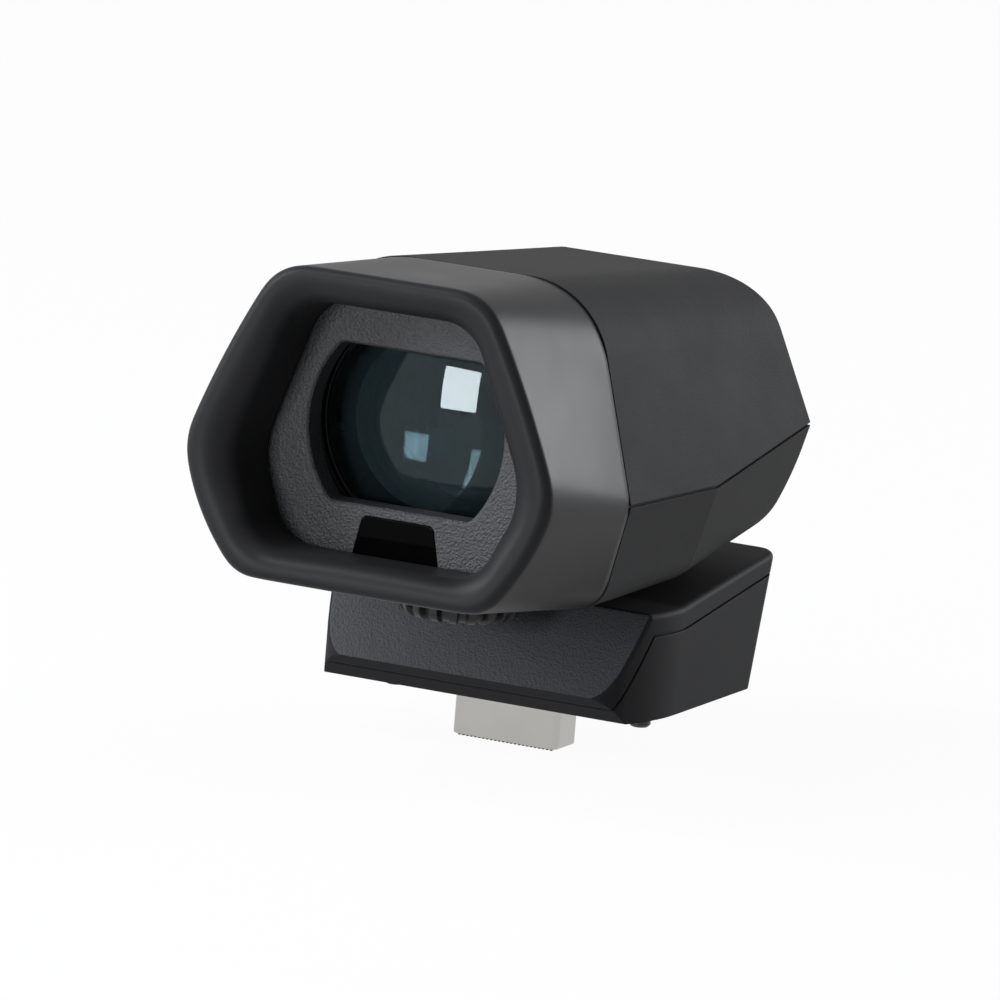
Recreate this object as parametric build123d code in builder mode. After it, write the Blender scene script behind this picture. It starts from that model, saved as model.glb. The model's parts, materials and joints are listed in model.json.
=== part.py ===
from build123d import *
import os
from math import cos, hypot, pi, radians, sin, tan

# Electronic viewfinder that plugs into the top of a camera.
# X points to the user's right, Y forward along the line of sight, Z up.
# Near means towards the user's eye and far means away from it.
# The origin is the plug's axis on the flat mount face under the foot.
# Lengths are in millimetres and angles in degrees.

os.makedirs("parts", exist_ok=True)

# Fits and walls that several pieces share
slip = 0.1
running_gap = 0.04
seat_gap = 0.25
overrun = 1.0
shell_wall = 1.8
groove_width = 0.36
groove_depth = 0.45
span = 90.0

# Optics that set the width and height of the head
window_half_width = 13.8
window_corner_half_width = 9.9
window_half_height = 10.25
window_corner_radius = 1.2
eye_lens_margin = 0.7
eye_lens_rest = 0.9
carriage_side_wall = 1.06
rod_side = 2.1
rod_boss_radius = 1.55
rod_boss_gap = 0.55
lens_flat_half_height = 12.3
carriage_flat_wall = 1.3
carriage_floor_gap = 0.7
carriage_roof_gap = 2.1

# Foot: side view and plan
base_half_width = 23.9
base_plan_radius = 27.0
base_plan_start_y = -3.0
base_near_y = -13.45
nose_y = -16.9
nose_height = 3.4
panel_top_y = -10.3
base_top_height = 14.2
base_bend_y = -2.5
base_far_y = 22.6
base_far_top_y = 27.5
base_far_rise = 3.8
base_bend_radius = 10.0
base_far_corner_radius = 2.6
base_nose_corner_radius = 5.0
base_top_edge_radius = 0.8
level_share = 0.5
base_wall = 1.7
base_floor = 1.8
base_parting_back = 2.5
base_parting_drop = 2.9
base_parting_bend_y = -1.2
base_parting_far_drop = 2.7
base_post_radius = 2.4
base_post_height = 8.0
base_screw_inset = 5.3
base_screw_x = base_half_width - base_screw_inset
base_screw_near_y = -6.5
base_screw_far_y = 13.2

# Drive from the dial to the lens group
dial_y = -20.4
dial_radius = 7.8
dial_face_radius = 5.0
dial_thickness = 3.2
dial_taper_height = 1.4
dial_gap = 0.3
dial_rib_count = 18
dial_groove_width = 1.3
dial_groove_depth = 0.8
dial_shaft_radius = 2.0
dial_stub_radius = 1.3
dial_screw_radius = 0.6
dial_screw_length = 3.4
dial_screw_head_radius = 2.0
dial_screw_head_height = 0.8
bush_radius = 3.0
bush_flange_radius = 4.0
bush_flange_height = 0.7
seal_wire_radius = 0.45
pinion_tooth_count = 12
gear_module = 0.5
pressure_angle = 20.0
pinion_thickness = 2.6
tooth_backlash = 0.14
tip_share = 0.85
root_share = 1.2
rack_tooth_count = 6
rack_half_length = 5.6
rack_back = 1.6
rack_drop_gap = 0.3
rack_foot_height = 1.2
rack_foot_width = 4.6
rack_screw_pitch = 8.0
rack_screw_radius = 0.55
rack_screw_head_radius = 1.0
rack_screw_head_height = 0.7
rack_screw_bite = 0.9

# Heights from the foot upward: underside of the head, drive, lens carriage, roof
underside_gap = 2.2
cup_floor_wall = 3.0
cup_roof_wall = 2.4
frame_wall = 1.6
seam_bottom_height = base_top_height + underside_gap
frame_bottom_height = seam_bottom_height + cup_floor_wall
pinion_bottom = frame_bottom_height + frame_wall
pinion_top = pinion_bottom + pinion_thickness
carriage_bottom = pinion_top + dial_screw_head_height + carriage_floor_gap
carriage_half_height = lens_flat_half_height + carriage_flat_wall
optical_height = carriage_bottom + carriage_half_height
frame_top_height = optical_height + carriage_half_height + carriage_roof_gap + frame_wall
seam_top_height = frame_top_height + cup_roof_wall

# Widths from the lens outward: carriage, guide rods, eyepiece frame, head
cup_side_wall = 3.05
eye_lens_clear = window_half_width + eye_lens_margin
eye_lens_radius = eye_lens_clear + eye_lens_rest
carriage_radius = eye_lens_radius + running_gap + carriage_side_wall
rod_x = carriage_radius + rod_side
frame_waist_half_width = rod_x + rod_boss_radius + rod_boss_gap + frame_wall
seam_waist_half_width = frame_waist_half_width + cup_side_wall

# Head: its outline where the eyecup ends, at the bend of its crease and at its far end
seam_y = -25.4
bend_y = 0.0
far_y = 30.3
waist_drop = 7.9
crease_dip = 0.6
crease_climb = 4.4
roof_fall = 5.0
seam_top_inset = 7.45
seam_bottom_inset = 3.15
bend_bottom_swell = 0.2
far_waist_swell = 0.05
far_top_inset = 1.1
far_bottom_inset = 0.7
top_corner_radius = 12.0
bottom_corner_radius = 5.0
far_top_radius = 6.0
far_bottom_radius = 12.6
seam_waist_height = optical_height - waist_drop
bend_waist_height = seam_waist_height - crease_dip
far_waist_height = bend_waist_height + crease_climb
far_top_height = seam_top_height - roof_fall
seam_top_half_width = seam_waist_half_width - seam_top_inset
seam_bottom_half_width = seam_waist_half_width - seam_bottom_inset
bend_bottom_half_width = seam_bottom_half_width + bend_bottom_swell
far_waist_half_width = seam_waist_half_width + far_waist_swell
far_top_half_width = seam_top_half_width - far_top_inset
far_bottom_half_width = seam_bottom_half_width - far_bottom_inset

# Eyecup: corners of its rim, set from the head's outline, and walls of its mouth and well
rim_y = -51.8
rim_waist_swell = 1.1
rim_waist_rise = 4.4
rim_top_inset = 3.2
rim_top_rise = 1.5
rim_bottom_inset = 4.6
rim_bottom_rise = 2.5
rim_upper_bow = 0.5
rim_lower_bow = 0.9
rim_top_radius = 7.0
rim_waist_radius = 10.0
rim_bottom_radius = 6.0
rim_side_width = 5.2
rim_top_width = 2.5
rim_bottom_width = 2.2
rim_waist_sink = 0.6
rim_top_depth = 4.5
rim_bottom_depth = 4.0
well_side_fall = 1.8
well_corner_swell = 0.2
well_waist_sink = 0.8
well_top_sink = 0.8
well_bottom_sink = 0.7
mouth_corner_radius = 6.0
mouth_waist_radius = 10.0
rim_outer_fillet = 2.2
rim_inner_fillet = 1.6
cup_waist_radius = 4.0
rim_waist_half_width = seam_waist_half_width + rim_waist_swell
rim_waist_height = seam_waist_height + rim_waist_rise
rim_top_half_width = seam_top_half_width - rim_top_inset
rim_top_height = seam_top_height + rim_top_rise
rim_bottom_half_width = seam_bottom_half_width - rim_bottom_inset
rim_bottom_height = seam_bottom_height + rim_bottom_rise
mouth_waist_half_width = rim_waist_half_width - rim_side_width
mouth_waist_height = rim_waist_height - rim_waist_sink
mouth_top_half_width = rim_top_half_width - rim_top_width
mouth_top_height = rim_top_height - rim_top_depth
mouth_bottom_half_width = rim_bottom_half_width - rim_bottom_width
mouth_bottom_height = rim_bottom_height + rim_bottom_depth
well_waist_half_width = mouth_waist_half_width - well_side_fall
well_waist_height = mouth_waist_height - well_waist_sink
well_top_half_width = mouth_top_half_width + well_corner_swell
well_top_height = mouth_top_height - well_top_sink
well_bottom_half_width = mouth_bottom_half_width + well_corner_swell
well_bottom_height = mouth_bottom_height - well_bottom_sink

# Eyepiece frame and plate
plate_y = -40.8
plate_thickness = 1.6
frame_top_inset = 7.9
frame_bottom_inset = 3.6
frame_waist_rise = 0.7
frame_top_radius = 8.0
frame_waist_radius = 3.0
frame_bottom_radius = 4.0
frame_length = 16.8
spigot_length = 2.4
collar_depth = 3.6
collar_wall = 1.2
plate_window_chamfer = 0.3
frame_waist_height = seam_waist_height + frame_waist_rise
frame_top_half_width = frame_waist_half_width - frame_top_inset
frame_bottom_half_width = frame_waist_half_width - frame_bottom_inset

# Eye sensor behind its black window
sensor_top_half_width = 4.95
sensor_bottom_half_width = 6.1
sensor_top_drop = 11.6
sensor_bottom_rise = 2.2
sensor_corner_radius = 0.9
sensor_window_thickness = 1.0
sensor_window_proud = 0.08
sensor_ledge = 0.8
sensor_board_half_width = 5.6
sensor_board_thickness = 0.8
sensor_board_gap = 1.3
sensor_part_width = 2.2
sensor_part_height = 1.8
sensor_part_depth = 0.9
sensor_part_pitch = 4.6
sensor_top_height = optical_height - sensor_top_drop
sensor_bottom_height = frame_bottom_height + sensor_bottom_rise

# Lens group, along the optical axis
travel_half = 2.36
lens_gap = 0.9
eye_lens_far_clear = 11.2
eye_lens_near_curve = 45.0
eye_lens_far_curve = 60.0
eye_lens_edge = 3.0
eye_spacer_length = 1.7
middle_lens_radius = 14.2
middle_lens_clear = 11.4
middle_lens_curve = 48.0
middle_lens_edge = 4.8
middle_spacer_length = 0.6
rear_lens_radius = 13.0
rear_lens_clear = 11.4
rear_lens_far_clear = 9.8
rear_lens_curve = 50.0
rear_lens_edge = 3.0
field_spacer_length = 3.2
field_lens_radius = 11.0
field_lens_clear = 9.6
field_lens_curve = 48.0
field_lens_edge = 2.0
lens_rest_width = 0.7
carriage_tail = 1.3
clip_length = 1.0
rod_drop = 4.2
rod_radius = 0.9
rod_seat = 2.2
lug_radius = 1.9
lug_length = 6.8
rod_height = optical_height - rod_drop

# Chassis plate, light baffle and display
chassis_y = -9.5
chassis_thickness = 2.0
chassis_clearance = 0.3
baffle_near_half_width = 9.0
baffle_near_half_height = 7.6
baffle_far_half_width = 6.4
baffle_far_half_height = 5.0
baffle_length = 9.0
baffle_wall = 1.0
unit_half_width = 13.0
unit_half_height = 9.4
unit_corner_radius = 2.0
unit_screw_x = 11.6
unit_screw_height = 6.4
unit_leg_radius = 1.4
holder_lip = 1.0
gasket_thickness = 0.8
gasket_width = 1.1
display_half_width = 7.6
display_half_height = 6.2
display_thickness = 1.6
display_cover_thickness = 0.5
board_thickness = 1.0
display_screw_radius = 0.7
display_screw_head_radius = 1.3
display_screw_head_height = 0.8
display_screw_bite = 1.4

# Main board under the roof of the head
main_board_y = 17.0
main_board_length = 16.0
main_board_half_width = 13.4
main_board_drop = 6.8
main_board_post_radius = 1.7
main_board_post_x = 11.2
main_board_post_pitch = 11.6
small_screw_radius = 0.7
small_screw_head_radius = 1.4
small_screw_head_height = 0.9
small_screw_bite = 2.8
chip_half_width = 3.6
chip_length = 7.2
chip_height = 1.1
socket_half_width = 5.0
socket_depth = 3.0
socket_height = 1.5
main_board_height = far_top_height - main_board_drop

# Screws that join the two halves of the head
head_screw_x = 16.6
head_screw_far_y = 7.5
head_screw_near_y = -4.5
head_post_radius = 2.4
screw_radius = 0.95
screw_head_radius = 1.8
screw_head_height = 1.2
screw_seat_depth = 1.5
screw_bite = 4.4

# Tilt hinge
hinge_y = 21.0
hinge_rise = 6.6
tilt_angle = 70.0
barrel_radius = 4.6
barrel_half_width = 12.0
trough_gap = 0.6
trough_wall = 1.3
hinge_side_gap = 0.9
hinge_boss_width = 3.6
hinge_pin_radius = 1.5
hinge_pin_reach = 4.0
hinge_pin_head_radius = 2.6
hinge_pin_head = 0.8
washer_thickness = 0.6
washer_radius = 4.0
neck_half_thickness = 2.6
neck_stop_gap = 0.3
neck_bottom_height = 12.0
hinge_plate_half_width = 17.0
hinge_plate_near_y = 16.7
hinge_plate_far_y = 23.0
hinge_plate_thickness = 2.0
hinge_screw_inner_x = 6.0
hinge_screw_outer_x = 15.0
hinge_screw_outer_y = 19.9
hinge_boss_radius = 2.4
hinge_screw_bite = 2.8

# Plug and locating pins
plug_half_width = 7.6
plug_half_depth = 3.2
plug_length = 7.4
plug_corner_radius = 0.9
plug_wall = 0.5
plug_edge_radius = 0.25
plug_flange = 1.6
plug_flange_thickness = 0.8
plug_inside = 3.4
insert_recess = 0.5
insert_slot_half_width = 6.2
insert_slot_half_depth = 1.2
insert_slot_depth = 5.0
contact_count = 12
contact_pitch = 0.92
contact_width = 0.5
contact_thickness = 0.2
contact_length = 4.2
tooth_count = 24
tooth_pitch = 0.58
tooth_width = 0.3
tooth_drop = 0.22
tooth_depth = 0.5
pin_inset = 6.1
pin_x = base_half_width - pin_inset
pin_radius = 1.45
pin_length = 2.9
pin_grip = 4.6
pin_grip_radius = 1.0
pin_flange_radius = 2.1
pin_flange_height = 0.8
pin_chamfer = 0.35
pin_boss_radius = 2.4

# Board in the foot
base_board_side_gap = 2.6
base_board_half_width = base_screw_x - base_post_radius - base_board_side_gap
base_board_far_y = 5.4
base_board_near_y = -10.0
base_board_post_radius = 1.7
base_board_screw_inset = 2.0
base_board_screw_x = base_board_half_width - base_board_screw_inset
base_board_screw_y = -7.6
base_board_screw_length = 3.2

# Captive mounting screw
screw_y = 9.5
mount_screw_radius = 1.9
mount_screw_head_radius = 3.9
mount_screw_head_height = 2.0
mount_screw_tip = 0.4
mount_screw_travel = 3.0
mount_screw_play = 0.15
mount_head_sink = 0.3
coin_slot_width = 1.1
coin_slot_depth = 1.0
cup_radius = 4.3
cup_wall = 1.1
cup_floor = 1.0
spring_pocket_radius = 3.2
spring_pocket_depth = 1.6
spring_wire_radius = 0.2
spring_radius = 2.6
spring_turn_count = 3
clip_radius = 3.3
clip_thickness = 0.6
clip_gap = 0.2
clip_groove_radius = 1.4


# Outlines and shapes that several pieces use


def across(y):
    """Plane that cuts the object across its line of sight at a place along Y."""
    return Plane.XZ.offset(-y)


def level(z):
    """Horizontal plane at one height."""
    return Plane.XY.offset(z)


def shifted(points, distance, closed=False):
    """Line or outline moved to its left by one distance, with mitred corners."""
    count = len(points)
    side_count = count if closed else count - 1
    normals = []
    for index in range(side_count):
        start = points[index]
        end = points[(index + 1) % count]
        run = end[0] - start[0]
        rise = end[1] - start[1]
        length = hypot(run, rise)
        normals.append((-rise / length, run / length))
    moved = []
    for index, point in enumerate(points):
        before = normals[index - 1] if closed or index > 0 else normals[0]
        after = normals[index] if index < side_count else normals[-1]
        reach = distance / (1 + before[0] * after[0] + before[1] * after[1])
        moved.append((point[0] + reach * (before[0] + after[0]), point[1] + reach * (before[1] + after[1])))
    return moved


def hexagon(y, waist, top, bottom, radii, inset=0):
    """Six-sided outline across the line of sight.

    waist, top and bottom are the half width and height of a corner, and radii
    rounds the top, waist and bottom corners. inset moves every side inward."""
    corners = [
        (-bottom[0], bottom[1]),
        (bottom[0], bottom[1]),
        (waist[0], waist[1]),
        (top[0], top[1]),
        (-top[0], top[1]),
        (-waist[0], waist[1]),
    ]
    top_round, waist_round, bottom_round = [max(radius - inset, 0) for radius in radii]
    with BuildSketch(across(y)) as outline:
        with BuildLine():
            FilletPolyline(
                *shifted(corners, inset, closed=True),
                radius=(bottom_round, bottom_round, waist_round, top_round, top_round, waist_round),
                close=True,
            )
        make_face()
    return outline.sketch


def bowed_hexagon(y, waist, top, bottom, radii, bows):
    """Six-sided outline whose flanks swell outward by bows, above and below the waist."""
    corners = [
        (-bottom[0], bottom[1]),
        (bottom[0], bottom[1]),
        (waist[0], waist[1]),
        (top[0], top[1]),
        (-top[0], top[1]),
        (-waist[0], waist[1]),
    ]
    upper_bow, lower_bow = bows
    swells = (0, lower_bow, upper_bow, 0, upper_bow, lower_bow)
    top_round, waist_round, bottom_round = radii
    with BuildSketch(across(y)) as outline:
        with BuildLine():
            for index, swell in enumerate(swells):
                start = corners[index]
                end = corners[(index + 1) % len(corners)]
                if swell:
                    run = end[0] - start[0]
                    rise = end[1] - start[1]
                    length = hypot(run, rise)
                    middle = (
                        (start[0] + end[0]) / 2 + swell * rise / length,
                        (start[1] + end[1]) / 2 - swell * run / length,
                    )
                    ThreePointArc(start, middle, end)
                else:
                    Line(start, end)
        make_face()
        for height, radius in ((bottom[1], bottom_round), (waist[1], waist_round), (top[1], top_round)):
            here = outline.vertices().filter_by(lambda corner: abs(corner.Y - height) < slip)
            fillet(here, radius)
    return outline.sketch


def side_prism(points, radii):
    """Side view drawn in Y and Z, carried over the whole width."""
    with BuildPart() as prism:
        with BuildSketch(Plane.YZ):
            with BuildLine():
                FilletPolyline(*points, radius=radii, close=True)
            make_face()
        extrude(amount=span, both=True)
    return prism.part


def side_band(line, low, high):
    """Full-width slab between a side-view line moved by low and by high."""
    points = shifted(line, low) + shifted(line, high)[::-1]
    return side_prism(points, 0)


def tube(x, y, bottom, top, radius):
    """Upright round bar, added to the part that is being built."""
    with Locations((x, y, bottom)):
        Cylinder(radius, top - bottom, align=(Align.CENTER, Align.CENTER, Align.MIN))


def bore(x, y, bottom, top, radius):
    """Upright round hole, cut from the part that is being built."""
    with Locations((x, y, bottom)):
        Cylinder(
            radius,
            top - bottom,
            align=(Align.CENTER, Align.CENTER, Align.MIN),
            mode=Mode.SUBTRACT,
        )


def cross_bar(x_low, x_high, y, z, radius, mode=Mode.ADD):
    """Round bar or hole that lies along X."""
    with Locations(Location((x_low, y, z), (0, 90, 0))):
        Cylinder(radius, x_high - x_low, align=(Align.CENTER, Align.CENTER, Align.MIN), mode=mode)


def block(x_span, y_span, z_span, mode=Mode.ADD):
    """Box between two places along each axis."""
    with Locations((x_span[0], y_span[0], z_span[0])):
        Box(
            x_span[1] - x_span[0],
            y_span[1] - y_span[0],
            z_span[1] - z_span[0],
            align=(Align.MIN, Align.MIN, Align.MIN),
            mode=mode,
        )


def finish(builder, name):
    """Label a finished piece and write its STEP file."""
    builder.part.label = name
    export_step(builder.part, "parts/" + name + ".step")


# Side-view lines of head and foot

base_far_top_height = base_top_height + base_far_rise
base_slope = base_far_rise / (base_far_top_y - base_bend_y)


def base_top_at(y):
    """Height of the foot's top along Y: level, then rising to the front."""
    return base_top_height + base_slope * max(y - base_bend_y, 0)


def between(start, end, share):
    return start + (end - start) * share


bend_share = (bend_y - seam_y) / (far_y - seam_y)
bend_top_half_width = between(seam_top_half_width, far_top_half_width, bend_share)
bend_top_height = between(seam_top_height, far_top_height, bend_share)
bend_side_width = between(seam_waist_half_width, far_waist_half_width, bend_share)
bend_side_height = between(seam_waist_height, far_waist_height, bend_share)
side_lean = (bend_side_width - bend_top_half_width) / (bend_top_height - bend_side_height)
bend_waist_half_width = bend_side_width + side_lean * (bend_side_height - bend_waist_height)

hinge_height = base_top_at(hinge_y) + underside_gap + hinge_rise
bend_bottom_height = base_top_at(bend_y) + underside_gap
far_bottom_height = base_top_at(far_y) + underside_gap

crease_rise = (far_waist_height - bend_waist_height) / (far_y - bend_y)
crease_fall = (bend_waist_height - seam_waist_height) / (bend_y - seam_y)
head_parting = [
    (seam_y - span, seam_waist_height - crease_fall * span),
    (bend_y, bend_waist_height),
    (far_y + span, far_waist_height + crease_rise * span),
]


def seam_outline(y, inset=0, waist_radius=0):
    """The head's outline where the eyecup ends."""
    return hexagon(
        y,
        (seam_waist_half_width, seam_waist_height),
        (seam_top_half_width, seam_top_height),
        (seam_bottom_half_width, seam_bottom_height),
        (top_corner_radius, waist_radius, bottom_corner_radius),
        inset,
    )


def head_solid(inset):
    """The head's full shape, or the space inside it when inset is a wall."""
    bend_outline = hexagon(
        bend_y,
        (bend_waist_half_width, bend_waist_height),
        (bend_top_half_width, bend_top_height),
        (bend_bottom_half_width, bend_bottom_height),
        (top_corner_radius, 0, bottom_corner_radius),
        inset,
    )
    far_outline = hexagon(
        far_y,
        (far_waist_half_width, far_waist_height),
        (far_top_half_width, far_top_height),
        (far_bottom_half_width, far_bottom_height),
        (top_corner_radius, 0, bottom_corner_radius),
        inset,
    )
    top_slope = (far_top_height - seam_top_height) / (far_y - seam_y)
    bottom_slope = (bend_bottom_height - seam_bottom_height) / (bend_y - seam_y)
    side_view = [
        (seam_y - span, seam_bottom_height - bottom_slope * span),
        (bend_y, bend_bottom_height),
        (far_y, far_bottom_height),
        (far_y, far_top_height),
        (seam_y - span, seam_top_height - top_slope * span),
    ]
    radii = (0, 0, far_bottom_radius - inset, far_top_radius - inset, 0)
    with BuildPart() as solid:
        loft(sections=[seam_outline(seam_y, inset), bend_outline, far_outline], ruled=True)
        add(side_prism(shifted(side_view, inset, closed=True), radii), mode=Mode.INTERSECT)
    return solid.part


head_outer = head_solid(0)
head_inner = head_solid(shell_wall)
with BuildPart() as head_groove:
    add(side_band(head_parting, -groove_width / 2, groove_width / 2))
    add(head_solid(groove_depth), mode=Mode.SUBTRACT)

# Side view of the foot, its plan and its parting line

panel_lean = (panel_top_y - nose_y) / (base_top_height - nose_height)
base_side_view = [
    (base_near_y, 0),
    (base_far_y, 0),
    (base_far_top_y, base_far_top_height),
    (base_bend_y, base_top_height),
    (panel_top_y, base_top_height),
    (nose_y, nose_height),
]
parting_foot_y = nose_y + base_parting_back - panel_lean * nose_height
base_parting_height = base_top_height - base_parting_drop
base_parting_far_height = base_far_top_height - base_parting_far_drop
parting_top_y = parting_foot_y + panel_lean * base_parting_height
parting_rise = (base_parting_far_height - base_parting_height) / (base_far_top_y - base_parting_bend_y)
base_parting = [
    (parting_foot_y - panel_lean * span, -span),
    (parting_top_y, base_parting_height),
    (base_parting_bend_y, base_parting_height),
    (base_far_top_y + span, base_parting_far_height + parting_rise * span),
]


def base_solid(inset, floor):
    """The foot's full shape, or the space inside it when inset and floor are walls."""
    walls = shifted(base_side_view, inset, closed=True)
    walls[0] = (walls[0][0], floor)
    walls[1] = (walls[1][0], floor)
    front = nose_y - slip
    nose_drop = base_plan_start_y - front
    plan_sag = base_plan_radius - (base_plan_radius**2 - nose_drop**2) ** 0.5
    half_width = base_half_width - inset
    with BuildPart() as solid:
        with BuildSketch(Plane.XY) as plan:
            with BuildLine():
                Line((half_width, span), (half_width, base_plan_start_y))
                RadiusArc(
                    (half_width, base_plan_start_y), (half_width - plan_sag, front), base_plan_radius
                )
                Line((half_width - plan_sag, front), (plan_sag - half_width, front))
                RadiusArc(
                    (plan_sag - half_width, front), (-half_width, base_plan_start_y), base_plan_radius
                )
                Line((-half_width, base_plan_start_y), (-half_width, span))
                Line((-half_width, span), (half_width, span))
            make_face()
            nose_corners = plan.vertices().group_by(Axis.Y)[0]
            fillet(nose_corners, base_nose_corner_radius - inset)
        extrude(amount=span)
        add(side_prism(walls, (0, 0, 0, base_bend_radius, 0, 0)), mode=Mode.INTERSECT)
    return solid.part


# Eyecup: rubber hood, rolled rim, seated over the eyepiece frame

frame_near_y = plate_y + plate_thickness
cup_floor_y = plate_y - seat_gap
cup_end_y = seam_y - seat_gap


def frame_outline(y, inset=0):
    """Outline of the eyepiece frame, moved inward by inset."""
    return hexagon(
        y,
        (frame_waist_half_width, frame_waist_height),
        (frame_top_half_width, frame_top_height),
        (frame_bottom_half_width, frame_bottom_height),
        (frame_top_radius, frame_waist_radius, frame_bottom_radius),
        inset,
    )


rim_outline = bowed_hexagon(
    rim_y,
    (rim_waist_half_width, rim_waist_height),
    (rim_top_half_width, rim_top_height),
    (rim_bottom_half_width, rim_bottom_height),
    (rim_top_radius, rim_waist_radius, rim_bottom_radius),
    (rim_upper_bow, rim_lower_bow),
)
mouth_outline = hexagon(
    rim_y,
    (mouth_waist_half_width, mouth_waist_height),
    (mouth_top_half_width, mouth_top_height),
    (mouth_bottom_half_width, mouth_bottom_height),
    (mouth_corner_radius, mouth_waist_radius, mouth_corner_radius),
)
well_outline = hexagon(
    cup_floor_y,
    (well_waist_half_width, well_waist_height),
    (well_top_half_width, well_top_height),
    (well_bottom_half_width, well_bottom_height),
    (mouth_corner_radius, mouth_waist_radius, mouth_corner_radius),
)
with BuildPart() as eyecup:
    loft(sections=[rim_outline, seam_outline(cup_end_y, 0, cup_waist_radius)], ruled=True)
    loft(sections=[mouth_outline, well_outline], ruled=True, mode=Mode.SUBTRACT)
    extrude(frame_outline(cup_floor_y, -slip), amount=cup_floor_y - cup_end_y, mode=Mode.SUBTRACT)
    rim_face = eyecup.faces().sort_by(Axis.Y)[0]
    fillet(rim_face.outer_wire().edges(), rim_outer_fillet)
    rim_face = eyecup.faces().sort_by(Axis.Y)[0]
    fillet(rim_face.inner_wires()[0].edges(), rim_inner_fillet)
finish(eyecup, "eyecup")

# Eyepiece frame: ring under the eyecup, with seats for the guide rods and room for the drive

bush_top = seam_bottom_height + shell_wall + bush_flange_height
rod_near_y = frame_near_y + seat_gap
with BuildPart() as frame_spigot:
    block((-span, span), (seam_y, seam_y + spigot_length), (0, span))
    add(head_solid(shell_wall + slip), mode=Mode.INTERSECT)

with BuildPart() as eyepiece_frame:
    extrude(frame_outline(frame_near_y), amount=-frame_length)
    add(frame_spigot.part)
    extrude(frame_outline(frame_near_y, frame_wall), amount=-frame_length, mode=Mode.SUBTRACT)
    for side in (-1, 1):
        with BuildSketch(across(frame_near_y)):
            with Locations((side * rod_x, rod_height)):
                Circle(rod_boss_radius)
            with Locations((side * (rod_x + frame_wall / 2), rod_height)):
                Rectangle(frame_wall, 2 * rod_boss_radius)
        extrude(amount=-rod_seat)
    with BuildSketch(across(frame_near_y)):
        with Locations((-rod_x, rod_height), (rod_x, rod_height)):
            Circle(rod_radius)
    extrude(amount=-rod_seat, mode=Mode.SUBTRACT)
    bore(0, dial_y, 0, pinion_top, bush_flange_radius + dial_gap)
finish(eyepiece_frame, "eyepiece_frame")

# Eyepiece plate: grained face with the lens window and a collar behind it


def window_outline(y, margin=0):
    """Lens window: straight above and below, curved at the sides."""
    half_width = window_half_width + margin
    corner = window_corner_half_width + margin
    low = optical_height - window_half_height - margin
    high = optical_height + window_half_height + margin
    with BuildSketch(across(y)) as outline:
        with BuildLine():
            Line((-corner, low), (corner, low))
            ThreePointArc((corner, low), (half_width, optical_height), (corner, high))
            Line((corner, high), (-corner, high))
            ThreePointArc((-corner, high), (-half_width, optical_height), (-corner, low))
        make_face()
        fillet(outline.vertices(), window_corner_radius)
    return outline.sketch


def sensor_outline(y, margin=0):
    """Trapezoid with rounded upper corners at the plate's lower edge."""
    corners = [
        (-sensor_bottom_half_width, sensor_bottom_height),
        (sensor_bottom_half_width, sensor_bottom_height),
        (sensor_top_half_width, sensor_top_height),
        (-sensor_top_half_width, sensor_top_height),
    ]
    corner_radius = max(sensor_corner_radius + margin, 0)
    with BuildSketch(across(y)) as outline:
        with BuildLine():
            FilletPolyline(
                *shifted(corners, -margin, closed=True),
                radius=(0, 0, corner_radius, corner_radius),
                close=True,
            )
        make_face()
    return outline.sketch


sensor_seat_y = plate_y + sensor_window_thickness - sensor_window_proud
with BuildPart() as eyepiece_plate:
    extrude(frame_outline(plate_y, slip), amount=-plate_thickness)
    extrude(window_outline(frame_near_y, collar_wall), amount=-(collar_depth - plate_thickness))
    extrude(window_outline(plate_y), amount=-collar_depth, mode=Mode.SUBTRACT)
    near_face = eyepiece_plate.faces().sort_by(Axis.Y)[0]
    chamfer(near_face.inner_wires()[0].edges(), plate_window_chamfer)
    extrude(sensor_outline(plate_y, slip), amount=-(sensor_seat_y - plate_y), mode=Mode.SUBTRACT)
    extrude(sensor_outline(plate_y, -sensor_ledge), amount=-plate_thickness, mode=Mode.SUBTRACT)
finish(eyepiece_plate, "eyepiece_plate")

with BuildPart() as sensor_window:
    extrude(sensor_outline(sensor_seat_y), amount=sensor_window_thickness)
finish(sensor_window, "sensor_window")

# Eye sensor: emitter and receiver on a small board behind the black window

sensor_board_y = frame_near_y + sensor_board_gap
sensor_board_top = optical_height - window_half_height - collar_wall - seat_gap
sensor_board_bottom = frame_bottom_height + frame_wall + seat_gap
sensor_height = (sensor_board_top + sensor_board_bottom) / 2
with BuildPart() as sensor_board:
    block(
        (-sensor_board_half_width, sensor_board_half_width),
        (sensor_board_y, sensor_board_y + sensor_board_thickness),
        (sensor_board_bottom, sensor_board_top),
    )
finish(sensor_board, "sensor_board")

with BuildPart() as sensor_pair:
    for side in (-1, 1):
        with Locations((side * sensor_part_pitch / 2, sensor_board_y, sensor_height)):
            Box(
                sensor_part_width,
                sensor_part_depth,
                sensor_part_height,
                align=(Align.CENTER, Align.MAX, Align.CENTER),
            )
finish(sensor_pair, "sensor_pair")

# Lens group. Each lens is a turned disc with flats above and below, and its
# curved faces end at a flat rim where the spacers touch it.


def sag(curve, radius):
    """Depth of a spherical cap at one radius."""
    return curve - (curve**2 - radius**2) ** 0.5


def face_line(place, clear, radius, bulge):
    """Half profile of one lens face: arc from the axis, then a flat rim."""
    if bulge:
        TangentArc(
            (place + bulge, optical_height), (place, optical_height + clear), tangent=(0, 1)
        )
        Line((place, optical_height + clear), (place, optical_height + radius))
    else:
        Line((place, optical_height), (place, optical_height + radius))


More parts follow.
